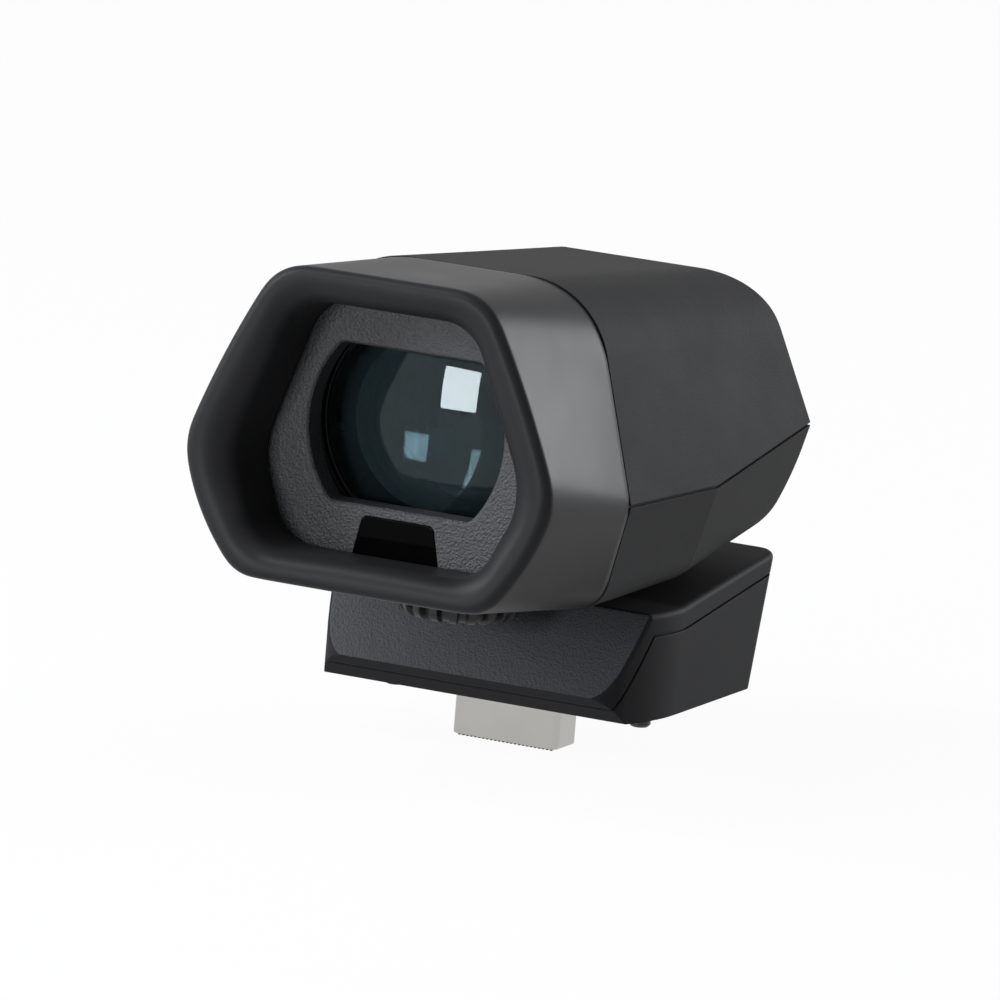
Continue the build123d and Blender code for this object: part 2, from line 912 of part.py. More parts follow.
def lens_solid(name, near_y, edge, radius, near, far):
    """Lens from its rim and two faces, each given as clear radius and bulge along Y."""
    far_y_here = near_y + edge
    with BuildPart() as lens:
        with BuildSketch(Plane.YZ):
            with BuildLine():
                face_line(near_y, near[0], radius, near[1])
                Line((near_y, optical_height + radius), (far_y_here, optical_height + radius))
                face_line(far_y_here, far[0], radius, far[1])
                Line((far_y_here + far[1], optical_height), (near_y + near[1], optical_height))
            make_face()
        revolve(axis=Axis((0, 0, optical_height), (0, 1, 0)))
        block(
            (-span, span),
            (-span, span),
            (optical_height - lens_flat_half_height, optical_height + lens_flat_half_height),
            mode=Mode.INTERSECT,
        )
    finish(lens, name)


collar_end_y = plate_y + collar_depth
eye_bulge = sag(eye_lens_near_curve, eye_lens_clear)
eye_far_bulge = sag(eye_lens_far_curve, eye_lens_far_clear)
middle_hollow = sag(middle_lens_curve, middle_lens_clear)
rear_bulge = sag(rear_lens_curve, rear_lens_clear)
rear_far_bulge = sag(rear_lens_curve, rear_lens_far_clear)
field_bulge = sag(field_lens_curve, field_lens_clear)
eye_near_y = collar_end_y + travel_half + lens_gap + eye_bulge - sag(eye_lens_near_curve, window_half_height)
eye_far_y = eye_near_y + eye_lens_edge
middle_near_y = eye_far_y + eye_spacer_length
middle_far_y = middle_near_y + middle_lens_edge
rear_near_y = middle_far_y + middle_spacer_length
rear_far_y = rear_near_y + rear_lens_edge
field_near_y = rear_far_y + field_spacer_length
field_far_y = field_near_y + field_lens_edge
carriage_near_y = eye_near_y - clip_length
carriage_far_y = field_far_y + carriage_tail

lens_solid(
    "eye_lens",
    eye_near_y,
    eye_lens_edge,
    eye_lens_radius,
    (eye_lens_clear, -eye_bulge),
    (eye_lens_far_clear, eye_far_bulge),
)
lens_solid(
    "middle_lens",
    middle_near_y,
    middle_lens_edge,
    middle_lens_radius,
    (middle_lens_clear, middle_hollow),
    (middle_lens_clear, -middle_hollow),
)
lens_solid(
    "rear_lens",
    rear_near_y,
    rear_lens_edge,
    rear_lens_radius,
    (rear_lens_clear, -rear_bulge),
    (rear_lens_far_clear, rear_far_bulge),
)
lens_solid(
    "field_lens",
    field_near_y,
    field_lens_edge,
    field_lens_radius,
    (field_lens_clear, -field_bulge),
    (field_lens_clear, 0),
)


def flat_disc(y, radius, flat=lens_flat_half_height):
    """Circle on the optical axis with flats above and below."""
    with BuildSketch(across(y)) as outline:
        with Locations((0, optical_height)):
            Circle(radius)
            Rectangle(span, 2 * flat, mode=Mode.INTERSECT)
    return outline.sketch


def spacer_ring(name, near_y, length, radius, clear):
    """Ring between two lenses, open inside the clear radius."""
    with BuildPart() as ring:
        extrude(flat_disc(near_y, radius), amount=-length)
        opening = flat_disc(near_y, clear, min(clear, lens_flat_half_height - lens_rest_width))
        extrude(opening, amount=-length, mode=Mode.SUBTRACT)
    finish(ring, name)


spacer_ring("eye_spacer", eye_far_y, eye_spacer_length, eye_lens_radius, eye_lens_far_clear)
spacer_ring("middle_spacer", middle_far_y, middle_spacer_length, rear_lens_radius, rear_lens_clear)
spacer_ring("field_spacer", rear_far_y, field_spacer_length, field_lens_radius, rear_lens_far_clear)

with BuildPart() as lens_clips:
    extrude(flat_disc(carriage_near_y, eye_lens_radius), amount=-clip_length)
    opening = flat_disc(carriage_near_y, eye_lens_radius - lens_rest_width, span)
    extrude(opening, amount=-clip_length, mode=Mode.SUBTRACT)
finish(lens_clips, "lens_clips")

# Lens carriage: stepped bore for the lenses, lugs that run on the guide rods

pitch_radius = gear_module * pinion_tooth_count / 2
tip_height = gear_module * tip_share
root_depth = gear_module * root_share
rack_back_x = pitch_radius + root_depth
rack_screw_x = rack_back_x + rack_foot_width - rack_screw_head_radius
rack_screw_ys = (dial_y - rack_screw_pitch / 2, dial_y + rack_screw_pitch / 2)
lug_y = carriage_far_y - lug_length
with BuildPart() as lens_carriage:
    extrude(
        flat_disc(carriage_near_y, carriage_radius, carriage_half_height),
        amount=carriage_near_y - carriage_far_y,
    )
    for side in (-1, 1):
        with BuildSketch(across(lug_y)):
            with Locations((side * rod_x, rod_height)):
                Circle(lug_radius)
            with Locations((side * rod_x / 2, rod_height)):
                Rectangle(rod_x, 2 * lug_radius)
        extrude(amount=-lug_length)
    with BuildSketch(across(carriage_near_y)):
        with Locations((-rod_x, rod_height), (rod_x, rod_height)):
            Circle(rod_radius + running_gap)
    extrude(amount=carriage_near_y - carriage_far_y, mode=Mode.SUBTRACT)
    bore_flat = lens_flat_half_height + running_gap
    bore_steps = [
        (carriage_near_y, middle_near_y, eye_lens_radius + running_gap, bore_flat),
        (middle_near_y, middle_far_y, middle_lens_radius + running_gap, bore_flat),
        (middle_far_y, rear_far_y, rear_lens_radius + running_gap, bore_flat),
        (rear_far_y, field_far_y, field_lens_radius + running_gap, bore_flat),
        (field_far_y, carriage_far_y, field_lens_clear, field_lens_clear),
    ]
    for start, end, radius, flat in bore_steps:
        extrude(flat_disc(start, radius, flat), amount=start - end, mode=Mode.SUBTRACT)
    for y in rack_screw_ys:
        bore(rack_screw_x, y, carriage_bottom, carriage_bottom + rack_screw_bite, rack_screw_radius)
finish(lens_carriage, "lens_carriage")

# Guide rods between the eyepiece frame and the chassis plate

chassis_far_y = chassis_y + chassis_thickness
with BuildPart() as guide_rods:
    with BuildSketch(across(rod_near_y)):
        with Locations((-rod_x, rod_height), (rod_x, rod_height)):
            Circle(rod_radius)
    extrude(amount=rod_near_y - chassis_far_y)
finish(guide_rods, "guide_rods")

# Dioptre drive: dial under the head, pinion on its shaft, rack under the carriage

dial_top = seam_bottom_height - dial_gap
dial_bottom = dial_top - dial_thickness
dial_taper_top = dial_bottom + dial_taper_height
dial_axis = Axis((0, dial_y, 0), (0, 0, 1))
tooth_pitch_length = pi * gear_module
tooth_half = (tooth_pitch_length / 2 - tooth_backlash) / 2
flank = tan(radians(pressure_angle))

with BuildPart() as dial_groove:
    with BuildSketch(Plane.XZ.offset(-dial_y)):
        with BuildLine():
            Polyline(
                (dial_radius - dial_groove_depth, dial_top + overrun),
                (dial_radius - dial_groove_depth, dial_taper_top),
                (dial_face_radius - dial_groove_depth, dial_bottom),
                (dial_face_radius - dial_groove_depth, dial_bottom - overrun),
                (dial_radius + overrun, dial_bottom - overrun),
                (dial_radius + overrun, dial_top + overrun),
                close=True,
            )
        make_face()
    extrude(amount=dial_groove_width / 2, both=True)

with BuildPart() as diopter_dial:
    with BuildSketch(Plane.XZ.offset(-dial_y)):
        with BuildLine():
            Polyline(
                (0, dial_bottom),
                (dial_face_radius, dial_bottom),
                (dial_radius, dial_taper_top),
                (dial_radius, dial_top),
                (dial_shaft_radius, dial_top),
                (dial_shaft_radius, pinion_bottom),
                (dial_stub_radius, pinion_bottom),
                (dial_stub_radius, pinion_top),
                (0, pinion_top),
                close=True,
            )
        make_face()
    revolve(axis=dial_axis)
    for index in range(dial_rib_count):
        turned = dial_groove.part.rotate(dial_axis, 360 * (index + 0.5) / dial_rib_count)
        add(turned, mode=Mode.SUBTRACT)
    bore(0, dial_y, pinion_top - dial_screw_length, pinion_top, dial_screw_radius)
finish(diopter_dial, "diopter_dial")


def tooth(half_width, tip, root):
    """Corners of a straight-flanked tooth that points along +Y from its pitch line."""
    return [
        (-half_width - root * flank, -root),
        (-half_width + tip * flank, tip),
        (half_width - tip * flank, tip),
        (half_width + root * flank, -root),
    ]


with BuildSketch() as pinion_tooth:
    with BuildLine():
        Polyline(
            *[(x, y + pitch_radius) for x, y in tooth(tooth_half, tip_height, root_depth + slip)],
            close=True,
        )
    make_face()

with BuildSketch() as rack_tooth:
    with BuildLine():
        Polyline(*[(-y, x) for x, y in tooth(tooth_half, tip_height, root_depth)], close=True)
    make_face()

with BuildPart() as dial_pinion:
    with BuildSketch(level(pinion_bottom)):
        with Locations((0, dial_y)):
            Circle(pitch_radius - root_depth)
            with PolarLocations(0, pinion_tooth_count):
                add(pinion_tooth.sketch)
    extrude(amount=pinion_thickness)
    bore(0, dial_y, pinion_bottom, pinion_top, dial_stub_radius)
finish(dial_pinion, "dial_pinion")

with BuildPart() as dial_screw:
    tube(0, dial_y, pinion_top - dial_screw_length, pinion_top, dial_screw_radius)
    tube(0, dial_y, pinion_top, pinion_top + dial_screw_head_height, dial_screw_head_radius)
finish(dial_screw, "dial_screw")

with BuildPart() as dial_bush:
    tube(0, dial_y, seam_bottom_height, bush_top, bush_radius)
    tube(0, dial_y, bush_top - bush_flange_height, bush_top, bush_flange_radius)
    bore(0, dial_y, seam_bottom_height, bush_top, dial_shaft_radius + running_gap)
finish(dial_bush, "dial_bush")

with BuildPart() as dial_seal:
    with Locations((0, dial_y, bush_top + seal_wire_radius)):
        Torus(dial_shaft_radius + slip + seal_wire_radius, seal_wire_radius)
finish(dial_seal, "dial_seal")

# Rack: bar beside the pinion, screwed under the lens carriage

rack_bottom = pinion_bottom + rack_drop_gap
rack_foot_bottom = carriage_bottom - rack_foot_height
with BuildPart() as focus_rack:
    block(
        (rack_back_x, rack_back_x + rack_back),
        (dial_y - rack_half_length, dial_y + rack_half_length),
        (rack_bottom, carriage_bottom),
    )
    block(
        (rack_back_x, rack_back_x + rack_foot_width),
        (dial_y - rack_half_length, dial_y + rack_half_length),
        (rack_foot_bottom, carriage_bottom),
    )
    with BuildSketch(level(rack_bottom)):
        with Locations((pitch_radius, dial_y)):
            with GridLocations(0, tooth_pitch_length, 1, rack_tooth_count):
                add(rack_tooth.sketch)
    extrude(amount=pinion_top - rack_bottom)
    for y in rack_screw_ys:
        bore(rack_screw_x, y, rack_foot_bottom, carriage_bottom, rack_screw_radius)
finish(focus_rack, "focus_rack")

with BuildPart() as rack_screws:
    for y in rack_screw_ys:
        head_bottom = rack_foot_bottom - rack_screw_head_height
        tube(rack_screw_x, y, rack_foot_bottom, carriage_bottom + rack_screw_bite, rack_screw_radius)
        tube(rack_screw_x, y, head_bottom, rack_foot_bottom, rack_screw_head_radius)
finish(rack_screws, "rack_screws")

# Chassis plate: fills the head's section, with seats for the rods and the display unit


def upright(y, half_width, half_height, corner):
    """Rounded rectangle on the optical axis."""
    with BuildSketch(across(y)) as outline:
        with Locations((0, optical_height)):
            RectangleRounded(2 * half_width, 2 * half_height, corner)
    return outline.sketch


def unit_pegs(y, radius):
    """Circles at the four screws of the display unit."""
    with BuildSketch(across(y)) as outline:
        with Locations((0, optical_height)):
            with GridLocations(2 * unit_screw_x, 2 * unit_screw_height, 2, 2):
                Circle(radius)
    return outline.sketch


display_screw_tip_y = chassis_far_y - display_screw_bite
with BuildPart() as chassis_plate:
    block((-span, span), (chassis_y, chassis_far_y), (0, span))
    add(head_solid(shell_wall + chassis_clearance), mode=Mode.INTERSECT)
    opening = upright(chassis_y, baffle_near_half_width, baffle_near_half_height, unit_corner_radius)
    extrude(opening, amount=-chassis_thickness, mode=Mode.SUBTRACT)
    with BuildSketch(across(chassis_y)):
        with Locations((-rod_x, rod_height), (rod_x, rod_height)):
            Circle(rod_radius)
    extrude(amount=-chassis_thickness, mode=Mode.SUBTRACT)
    extrude(unit_pegs(chassis_far_y, display_screw_radius), amount=display_screw_bite, mode=Mode.SUBTRACT)
finish(chassis_plate, "chassis_plate")

# Light baffle and display unit, stacked on the chassis plate by four long screws

baffle_far_y = chassis_far_y + baffle_length
gasket_y = baffle_far_y + holder_lip
display_y = gasket_y + gasket_thickness
display_board_y = display_y + display_thickness
unit_far_y = display_board_y + board_thickness
baffle_flange_y = chassis_far_y + baffle_wall
with BuildPart() as light_baffle:
    extrude(
        upright(chassis_far_y, unit_half_width, unit_half_height, unit_corner_radius),
        amount=-baffle_wall,
    )
    near_outer = upright(
        baffle_flange_y,
        baffle_near_half_width + baffle_wall,
        baffle_near_half_height + baffle_wall,
        unit_corner_radius,
    )
    far_outer = upright(
        baffle_far_y,
        baffle_far_half_width + baffle_wall,
        baffle_far_half_height + baffle_wall,
        unit_corner_radius,
    )
    near_inner = upright(
        chassis_far_y, baffle_near_half_width, baffle_near_half_height, unit_corner_radius
    )
    far_inner = upright(baffle_far_y, baffle_far_half_width, baffle_far_half_height, unit_corner_radius)
    loft(sections=[near_outer, far_outer], ruled=True)
    loft(sections=[near_inner, far_inner], ruled=True, mode=Mode.SUBTRACT)
    extrude(unit_pegs(chassis_far_y, display_screw_radius + slip), amount=-baffle_wall, mode=Mode.SUBTRACT)
finish(light_baffle, "light_baffle")

with BuildPart() as display_holder:
    extrude(
        upright(baffle_far_y, unit_half_width, unit_half_height, unit_corner_radius),
        amount=baffle_far_y - display_board_y,
    )
    extrude(unit_pegs(baffle_flange_y, unit_leg_radius), amount=baffle_flange_y - baffle_far_y)
    extrude(
        upright(baffle_far_y, baffle_far_half_width, baffle_far_half_height, gasket_width),
        amount=-holder_lip,
        mode=Mode.SUBTRACT,
    )
    with BuildSketch(across(gasket_y)):
        with Locations((0, optical_height)):
            Rectangle(2 * (display_half_width + slip), 2 * (display_half_height + slip))
    extrude(amount=gasket_y - display_board_y, mode=Mode.SUBTRACT)
    extrude(
        unit_pegs(baffle_flange_y, display_screw_radius + slip),
        amount=baffle_flange_y - display_board_y,
        mode=Mode.SUBTRACT,
    )
finish(display_holder, "display_holder")

with BuildPart() as display_gasket:
    with BuildSketch(across(gasket_y)):
        with Locations((0, optical_height)):
            Rectangle(2 * display_half_width, 2 * display_half_height)
            Rectangle(
                2 * (display_half_width - gasket_width),
                2 * (display_half_height - gasket_width),
                mode=Mode.SUBTRACT,
            )
    extrude(amount=-gasket_thickness)
finish(display_gasket, "display_gasket")

with BuildPart() as display_cover_glass:
    with BuildSketch(across(display_y)):
        with Locations((0, optical_height)):
            Rectangle(2 * display_half_width, 2 * display_half_height)
    extrude(amount=-display_cover_thickness)
finish(display_cover_glass, "display_cover_glass")

with BuildPart() as display_panel:
    with BuildSketch(across(display_y + display_cover_thickness)):
        with Locations((0, optical_height)):
            Rectangle(2 * display_half_width, 2 * display_half_height)
    extrude(amount=display_cover_thickness - display_thickness)
finish(display_panel, "display_panel")

with BuildPart() as display_board:
    extrude(
        upright(display_board_y, unit_half_width, unit_half_height, unit_corner_radius),
        amount=-board_thickness,
    )
    screw_holes = unit_pegs(display_board_y, display_screw_radius + slip)
    extrude(screw_holes, amount=-board_thickness, mode=Mode.SUBTRACT)
finish(display_board, "display_board")

with BuildPart() as display_screws:
    extrude(unit_pegs(display_screw_tip_y, display_screw_radius), amount=display_screw_tip_y - unit_far_y)
    extrude(unit_pegs(unit_far_y, display_screw_head_radius), amount=-display_screw_head_height)
finish(display_screws, "display_screws")

# Main board, screwed up against posts under the roof of the head

main_board_top = main_board_height + board_thickness
main_screw_places = GridLocations(2 * main_board_post_x, main_board_post_pitch, 2, 2).local_locations
main_screw_spots = [
    (place.position.X, place.position.Y + main_board_y) for place in main_screw_places
]
with BuildPart() as main_board:
    with Locations((0, main_board_y, main_board_height)):
        Box(
            2 * main_board_half_width,
            main_board_length,
            board_thickness,
            align=(Align.CENTER, Align.CENTER, Align.MIN),
        )
    for x, y in main_screw_spots:
        bore(x, y, main_board_height, main_board_top, small_screw_radius + slip)
finish(main_board, "main_board")

with BuildPart() as board_chips:
    with Locations((0, main_board_y, main_board_height)):
        Box(
            2 * chip_half_width,
            chip_length,
            chip_height,
            align=(Align.CENTER, Align.CENTER, Align.MAX),
        )
    with Locations((0, unit_far_y, optical_height)):
        Box(
            2 * socket_half_width,
            socket_height,
            socket_depth,
            align=(Align.CENTER, Align.MIN, Align.CENTER),
        )
finish(board_chips, "board_chips")

with BuildPart() as board_screws:
    for x, y in main_screw_spots:
        tube(x, y, main_board_height, main_board_top + small_screw_bite, small_screw_radius)
        tube(x, y, main_board_height - small_screw_head_height, main_board_height, small_screw_head_radius)
finish(board_screws, "board_screws")

# Two halves of the head

head_screw_spots = [
    (side * head_screw_x, y) for side in (-1, 1) for y in (head_screw_near_y, head_screw_far_y)
]


def head_parting_at(y):
    """Height of the parting line along Y beyond its bend, or before it."""
    slope = crease_rise if y > bend_y else crease_fall
    return bend_waist_height + slope * (y - bend_y)


with BuildPart() as head_posts:
    for x, y in head_screw_spots:
        tube(x, y, 0, span, head_post_radius)
    add(head_outer, mode=Mode.INTERSECT)

with BuildPart() as board_posts:
    for x, y in main_screw_spots:
        tube(x, y, main_board_top, span, main_board_post_radius)
    add(head_outer, mode=Mode.INTERSECT)

with BuildPart() as top_shell:
    add(head_outer)
    add(head_inner, mode=Mode.SUBTRACT)
    add(head_posts.part)
    add(side_band(head_parting, 0, span), mode=Mode.INTERSECT)
    add(head_groove.part, mode=Mode.SUBTRACT)
    add(board_posts.part)
    for x, y in head_screw_spots:
        bore(x, y, 0, head_parting_at(y) + screw_bite, screw_radius)
    for x, y in main_screw_spots:
        bore(x, y, main_board_top, main_board_top + small_screw_bite, small_screw_radius)
finish(top_shell, "top_shell")

# The hinge slot is what the neck sweeps from rest to full tilt, seen from the head
neck_reach = neck_half_thickness + neck_stop_gap
swing_cos = cos(radians(tilt_angle))
swing_sin = sin(radians(tilt_angle))
slot_half_width = barrel_half_width + hinge_side_gap
boss_end = slot_half_width + hinge_boss_width
swung_y = hinge_y + neck_reach * swing_cos
swung_height = hinge_height + neck_reach * swing_sin
hinge_slot_points = [
    (hinge_y - neck_reach, hinge_height),
    (hinge_y - neck_reach, -span),
    (hinge_y + span * swing_sin, -span),
    (swung_y + span * swing_sin, swung_height - span * swing_cos),
    (swung_y, swung_height),
]
with BuildPart() as hinge_trough:
    cross_bar(-boss_end, boss_end, hinge_y, hinge_height, barrel_radius + trough_gap + trough_wall)
    add(head_outer, mode=Mode.INTERSECT)

with BuildPart() as hinge_slot:
    with BuildSketch(Plane.YZ):
        with BuildLine():
            Polyline(*hinge_slot_points, close=True)
        make_face()
        with Locations((hinge_y, hinge_height)):
            Circle(barrel_radius + trough_gap)
    extrude(amount=slot_half_width, both=True)

with BuildPart() as bottom_shell:
    add(head_outer)
    add(head_inner, mode=Mode.SUBTRACT)
    add(head_posts.part)
    add(side_band(head_parting, -span, 0), mode=Mode.INTERSECT)
    add(head_groove.part, mode=Mode.SUBTRACT)
    add(hinge_trough.part)
    add(hinge_slot.part, mode=Mode.SUBTRACT)
    cross_bar(-boss_end, boss_end, hinge_y, hinge_height, hinge_pin_radius, mode=Mode.SUBTRACT)
    bore(0, dial_y, 0, bush_top, bush_radius)
    bore(0, dial_y, bush_top - bush_flange_height, bush_top, bush_flange_radius + slip)
    for x, y in head_screw_spots:
        underside = base_top_at(y) + underside_gap
        bore(x, y, 0, head_parting_at(y) + overrun, screw_radius + slip)
        bore(x, y, 0, underside + screw_seat_depth, screw_head_radius + slip)
finish(bottom_shell, "bottom_shell")

with BuildPart() as head_screws:
    for x, y in head_screw_spots:
        seat = base_top_at(y) + underside_gap + screw_seat_depth
        tube(x, y, seat, head_parting_at(y) + screw_bite, screw_radius)
        tube(x, y, seat - screw_head_height, seat, screw_head_radius)
finish(head_screws, "head_screws")

# Tilt hinge: barrel and neck in one piece, screwed to the foot by a plate below

neck_low = neck_bottom_height
with BuildPart() as hinge_barrel:
    cross_bar(-barrel_half_width, barrel_half_width, hinge_y, hinge_height, barrel_radius)
    block(
        (-barrel_half_width, barrel_half_width),
        (hinge_y - neck_half_thickness, hinge_y + neck_half_thickness),
        (neck_low, hinge_height),
    )
    for side in (-1, 1):
        inner = side * (barrel_half_width - hinge_pin_reach - seat_gap)
        outer = side * barrel_half_width
        low, high = sorted((inner, outer))
        cross_bar(low, high, hinge_y, hinge_height, hinge_pin_radius + running_gap, mode=Mode.SUBTRACT)
        bore(side * hinge_screw_inner_x, hinge_y, neck_low, neck_low + hinge_screw_bite, screw_radius)
finish(hinge_barrel, "hinge_barrel")

with BuildPart() as hinge_pins:
    for side in (-1, 1):
        tip, head_start, head_end = (
            side * (barrel_half_width - hinge_pin_reach),
            side * boss_end,
            side * (boss_end + hinge_pin_head),
        )
        low, high = sorted((tip, head_start))
        cross_bar(low, high, hinge_y, hinge_height, hinge_pin_radius)
        low, high = sorted((head_start, head_end))
        cross_bar(low, high, hinge_y, hinge_height, hinge_pin_head_radius)
finish(hinge_pins, "hinge_pins")

with BuildPart() as hinge_washers:
    washer_start = barrel_half_width + (hinge_side_gap - washer_thickness) / 2
    for side in (-1, 1):
        low, high = sorted((side * washer_start, side * (washer_start + washer_thickness)))
        cross_bar(low, high, hinge_y, hinge_height, washer_radius)
        cross_bar(low, high, hinge_y, hinge_height, hinge_pin_radius + slip, mode=Mode.SUBTRACT)
finish(hinge_washers, "hinge_washers")

hinge_screw_spots = [
    (side * x, y)
    for side in (-1, 1)
    for x, y in ((hinge_screw_inner_x, hinge_y), (hinge_screw_outer_x, hinge_screw_outer_y))
]
plate_low = neck_low - hinge_plate_thickness
with BuildPart() as hinge_plate:
    block(
        (-hinge_plate_half_width, hinge_plate_half_width),
        (hinge_plate_near_y, hinge_plate_far_y),
        (plate_low, neck_low),
    )
    for x, y in hinge_screw_spots:
        bore(x, y, plate_low, neck_low, screw_radius + slip)
finish(hinge_plate, "hinge_plate")

with BuildPart() as hinge_screws:
    for x, y in hinge_screw_spots:
        tube(x, y, plate_low, neck_low + hinge_screw_bite, screw_radius)
        tube(x, y, plate_low - screw_head_height, plate_low, screw_head_radius)
finish(hinge_screws, "hinge_screws")

# Two halves of the foot


def on_foot_rim(edge):
    """True for the edges round the foot's top and down both sides of its near panel."""
    middle = edge.center()
    if abs(middle.X) < slip:
        crosses_top = middle.Y < panel_top_y + slip or middle.Y > base_far_top_y - slip
        return crosses_top and middle.Z > base_top_height - slip
    beside = abs(middle.X) > base_half_width - base_nose_corner_radius
    upright_seam = edge.geom_type == GeomType.LINE and abs(edge.tangent_at(0.5).Z) > level_share
    return beside and middle.Z > nose_height + slip and edge.length > overrun and not upright_seam


with BuildPart() as base_outer:
    add(base_solid(0, 0))
    far_corners = base_outer.edges().filter_by(
        lambda edge: edge.length > base_top_height and abs(edge.center().X) > base_half_width - overrun
        and edge.center().Y > base_far_y
    )
    fillet(far_corners, base_far_corner_radius)
    fillet(base_outer.edges().filter_by(on_foot_rim), base_top_edge_radius)

with BuildPart() as base_groove:
    add(side_band(base_parting, -groove_width / 2, groove_width / 2))
    add(base_solid(groove_depth, groove_depth), mode=Mode.SUBTRACT)

base_inner = base_solid(base_wall, base_floor)
base_screw_spots = [
    (side * base_screw_x, y) for side in (-1, 1) for y in (base_screw_near_y, base_screw_far_y)
]
mount_head_top = base_top_at(screw_y - mount_screw_head_radius) - mount_head_sink
mount_head_bottom = mount_head_top - mount_screw_head_height
cup_ledge = mount_head_bottom - mount_screw_travel
spring_seat = cup_ledge - spring_pocket_depth
cup_bottom = spring_seat - cup_floor

with BuildPart() as cover_posts:
    for x, y in base_screw_spots:
        tube(x, y, base_post_height, span, base_post_radius)
    for side in (-1, 1):
        tube(side * hinge_screw_outer_x, hinge_screw_outer_y, neck_low, span, hinge_boss_radius)
    tube(0, screw_y, cup_bottom, span, cup_radius + cup_wall)
    add(base_outer.part, mode=Mode.INTERSECT)

with BuildPart() as base_cover:
    add(base_outer.part)
    add(base_inner, mode=Mode.SUBTRACT)
    add(side_band(base_parting, 0, span), mode=Mode.INTERSECT)
    add(base_groove.part, mode=Mode.SUBTRACT)
    add(cover_posts.part)
    bore(0, screw_y, cup_ledge, span, cup_radius)
    bore(0, screw_y, spring_seat, cup_ledge, spring_pocket_radius)
    bore(0, screw_y, cup_bottom, spring_seat, mount_screw_radius + mount_screw_play)
    block(
        (-barrel_half_width - neck_stop_gap, barrel_half_width + neck_stop_gap),
        (hinge_y - neck_reach, hinge_y + neck_reach),
        (neck_low, span),
        mode=Mode.SUBTRACT,
    )
    for x, y in base_screw_spots:
        bore(x, y, base_post_height, base_post_height + screw_bite, screw_radius)
    for side in (-1, 1):
        hole_x = side * hinge_screw_outer_x
        bore(hole_x, hinge_screw_outer_y, neck_low, neck_low + hinge_screw_bite, screw_radius)
finish(base_cover, "base_cover")

board_low = base_floor + plug_inside
with BuildPart() as base_body:
    add(base_outer.part)
    add(base_inner, mode=Mode.SUBTRACT)
    add(side_band(base_parting, -span, 0), mode=Mode.INTERSECT)
    add(base_groove.part, mode=Mode.SUBTRACT)
    for x, y in base_screw_spots:
        tube(x, y, base_floor, base_post_height, base_post_radius)
    for side in (-1, 1):
        tube(side * base_board_screw_x, base_board_screw_y, base_floor, board_low, base_board_post_radius)
        tube(side * pin_x, 0, base_floor, pin_grip, pin_boss_radius)
        bore(side * base_board_screw_x, base_board_screw_y, base_floor, board_low, small_screw_radius)
        bore(side * pin_x, 0, 0, pin_grip, pin_grip_radius)
        bore(side * pin_x, 0, 0, pin_flange_height, pin_flange_radius)
    for x, y in base_screw_spots:
        bore(x, y, 0, base_post_height, screw_radius + slip)
        bore(x, y, 0, screw_seat_depth, screw_head_radius + slip)
    bore(0, screw_y, 0, base_floor, mount_screw_radius + mount_screw_play)
    block(
        (-plug_half_width, plug_half_width),
        (-plug_half_depth, plug_half_depth),
        (0, base_floor),
        mode=Mode.SUBTRACT,
    )
finish(base_body, "base_body")

with BuildPart() as base_screws:
    for x, y in base_screw_spots:
        tube(x, y, screw_seat_depth, base_post_height + screw_bite, screw_radius)
        tube(x, y, screw_seat_depth - screw_head_height, screw_seat_depth, screw_head_radius)
finish(base_screws, "base_screws")

# Plug: drawn metal shell with a flange inside the foot, insert with a slot and contacts


def plug_outline(z, inset):
    """Rounded rectangle of the plug, moved inward by inset."""
    with BuildSketch(level(z)) as outline:
        RectangleRounded(
            2 * (plug_half_width - inset),
            2 * (plug_half_depth - inset),
            plug_corner_radius - inset,
        )
    return outline.sketch


with BuildPart() as plug_shell:
    extrude(plug_outline(-plug_length, 0), amount=plug_length + board_low)
    block(
        (-plug_half_width - plug_flange, plug_half_width + plug_flange),
        (-plug_half_depth - plug_flange, plug_half_depth + plug_flange),
        (base_floor, base_floor + plug_flange_thickness),
    )
    lower_rim = plug_shell.faces().sort_by(Axis.Z)[0].edges()
    fillet(lower_rim, plug_edge_radius)
    extrude(plug_outline(-plug_length, plug_wall), amount=plug_length + board_low, mode=Mode.SUBTRACT)
finish(plug_shell, "plug_shell")

insert_bottom = -plug_length + insert_recess
insert_half_depth = plug_half_depth - plug_wall
with BuildPart() as plug_insert:
    extrude(plug_outline(insert_bottom, plug_wall), amount=board_low - insert_bottom)
    block(
        (-insert_slot_half_width, insert_slot_half_width),
        (-insert_slot_half_depth, insert_slot_half_depth),
        (insert_bottom, insert_bottom + insert_slot_depth),
        mode=Mode.SUBTRACT,
    )
    with Locations((0, -insert_half_depth, insert_bottom)):
        with GridLocations(tooth_pitch, 0, tooth_count, 1):
            Box(
                tooth_width,
                tooth_depth,
                insert_recess + tooth_drop,
                align=(Align.CENTER, Align.MIN, Align.MAX),
            )
finish(plug_insert, "plug_insert")

with BuildPart() as plug_contacts:
    for side in (-1, 1):
        place_y = side * (insert_slot_half_depth - contact_thickness / 2)
        with Locations((0, place_y, insert_bottom + insert_slot_depth)):
            with GridLocations(contact_pitch, 0, contact_count, 1):
                Box(
                    contact_width,
                    contact_thickness,
                    contact_length,
                    align=(Align.CENTER, Align.CENTER, Align.MAX),
                )
finish(plug_contacts, "plug_contacts")

with BuildPart() as locating_pins:
    for side in (-1, 1):
        tube(side * pin_x, 0, -pin_length, 0, pin_radius)
        tube(side * pin_x, 0, 0, pin_flange_height, pin_flange_radius)
        tube(side * pin_x, 0, pin_flange_height, pin_grip, pin_grip_radius)
    pin_tips = locating_pins.faces().filter_by(Axis.Z).group_by(Axis.Z)[0].edges()
    chamfer(pin_tips, pin_chamfer)
finish(locating_pins, "locating_pins")

# Board in the foot, on the plug and two posts

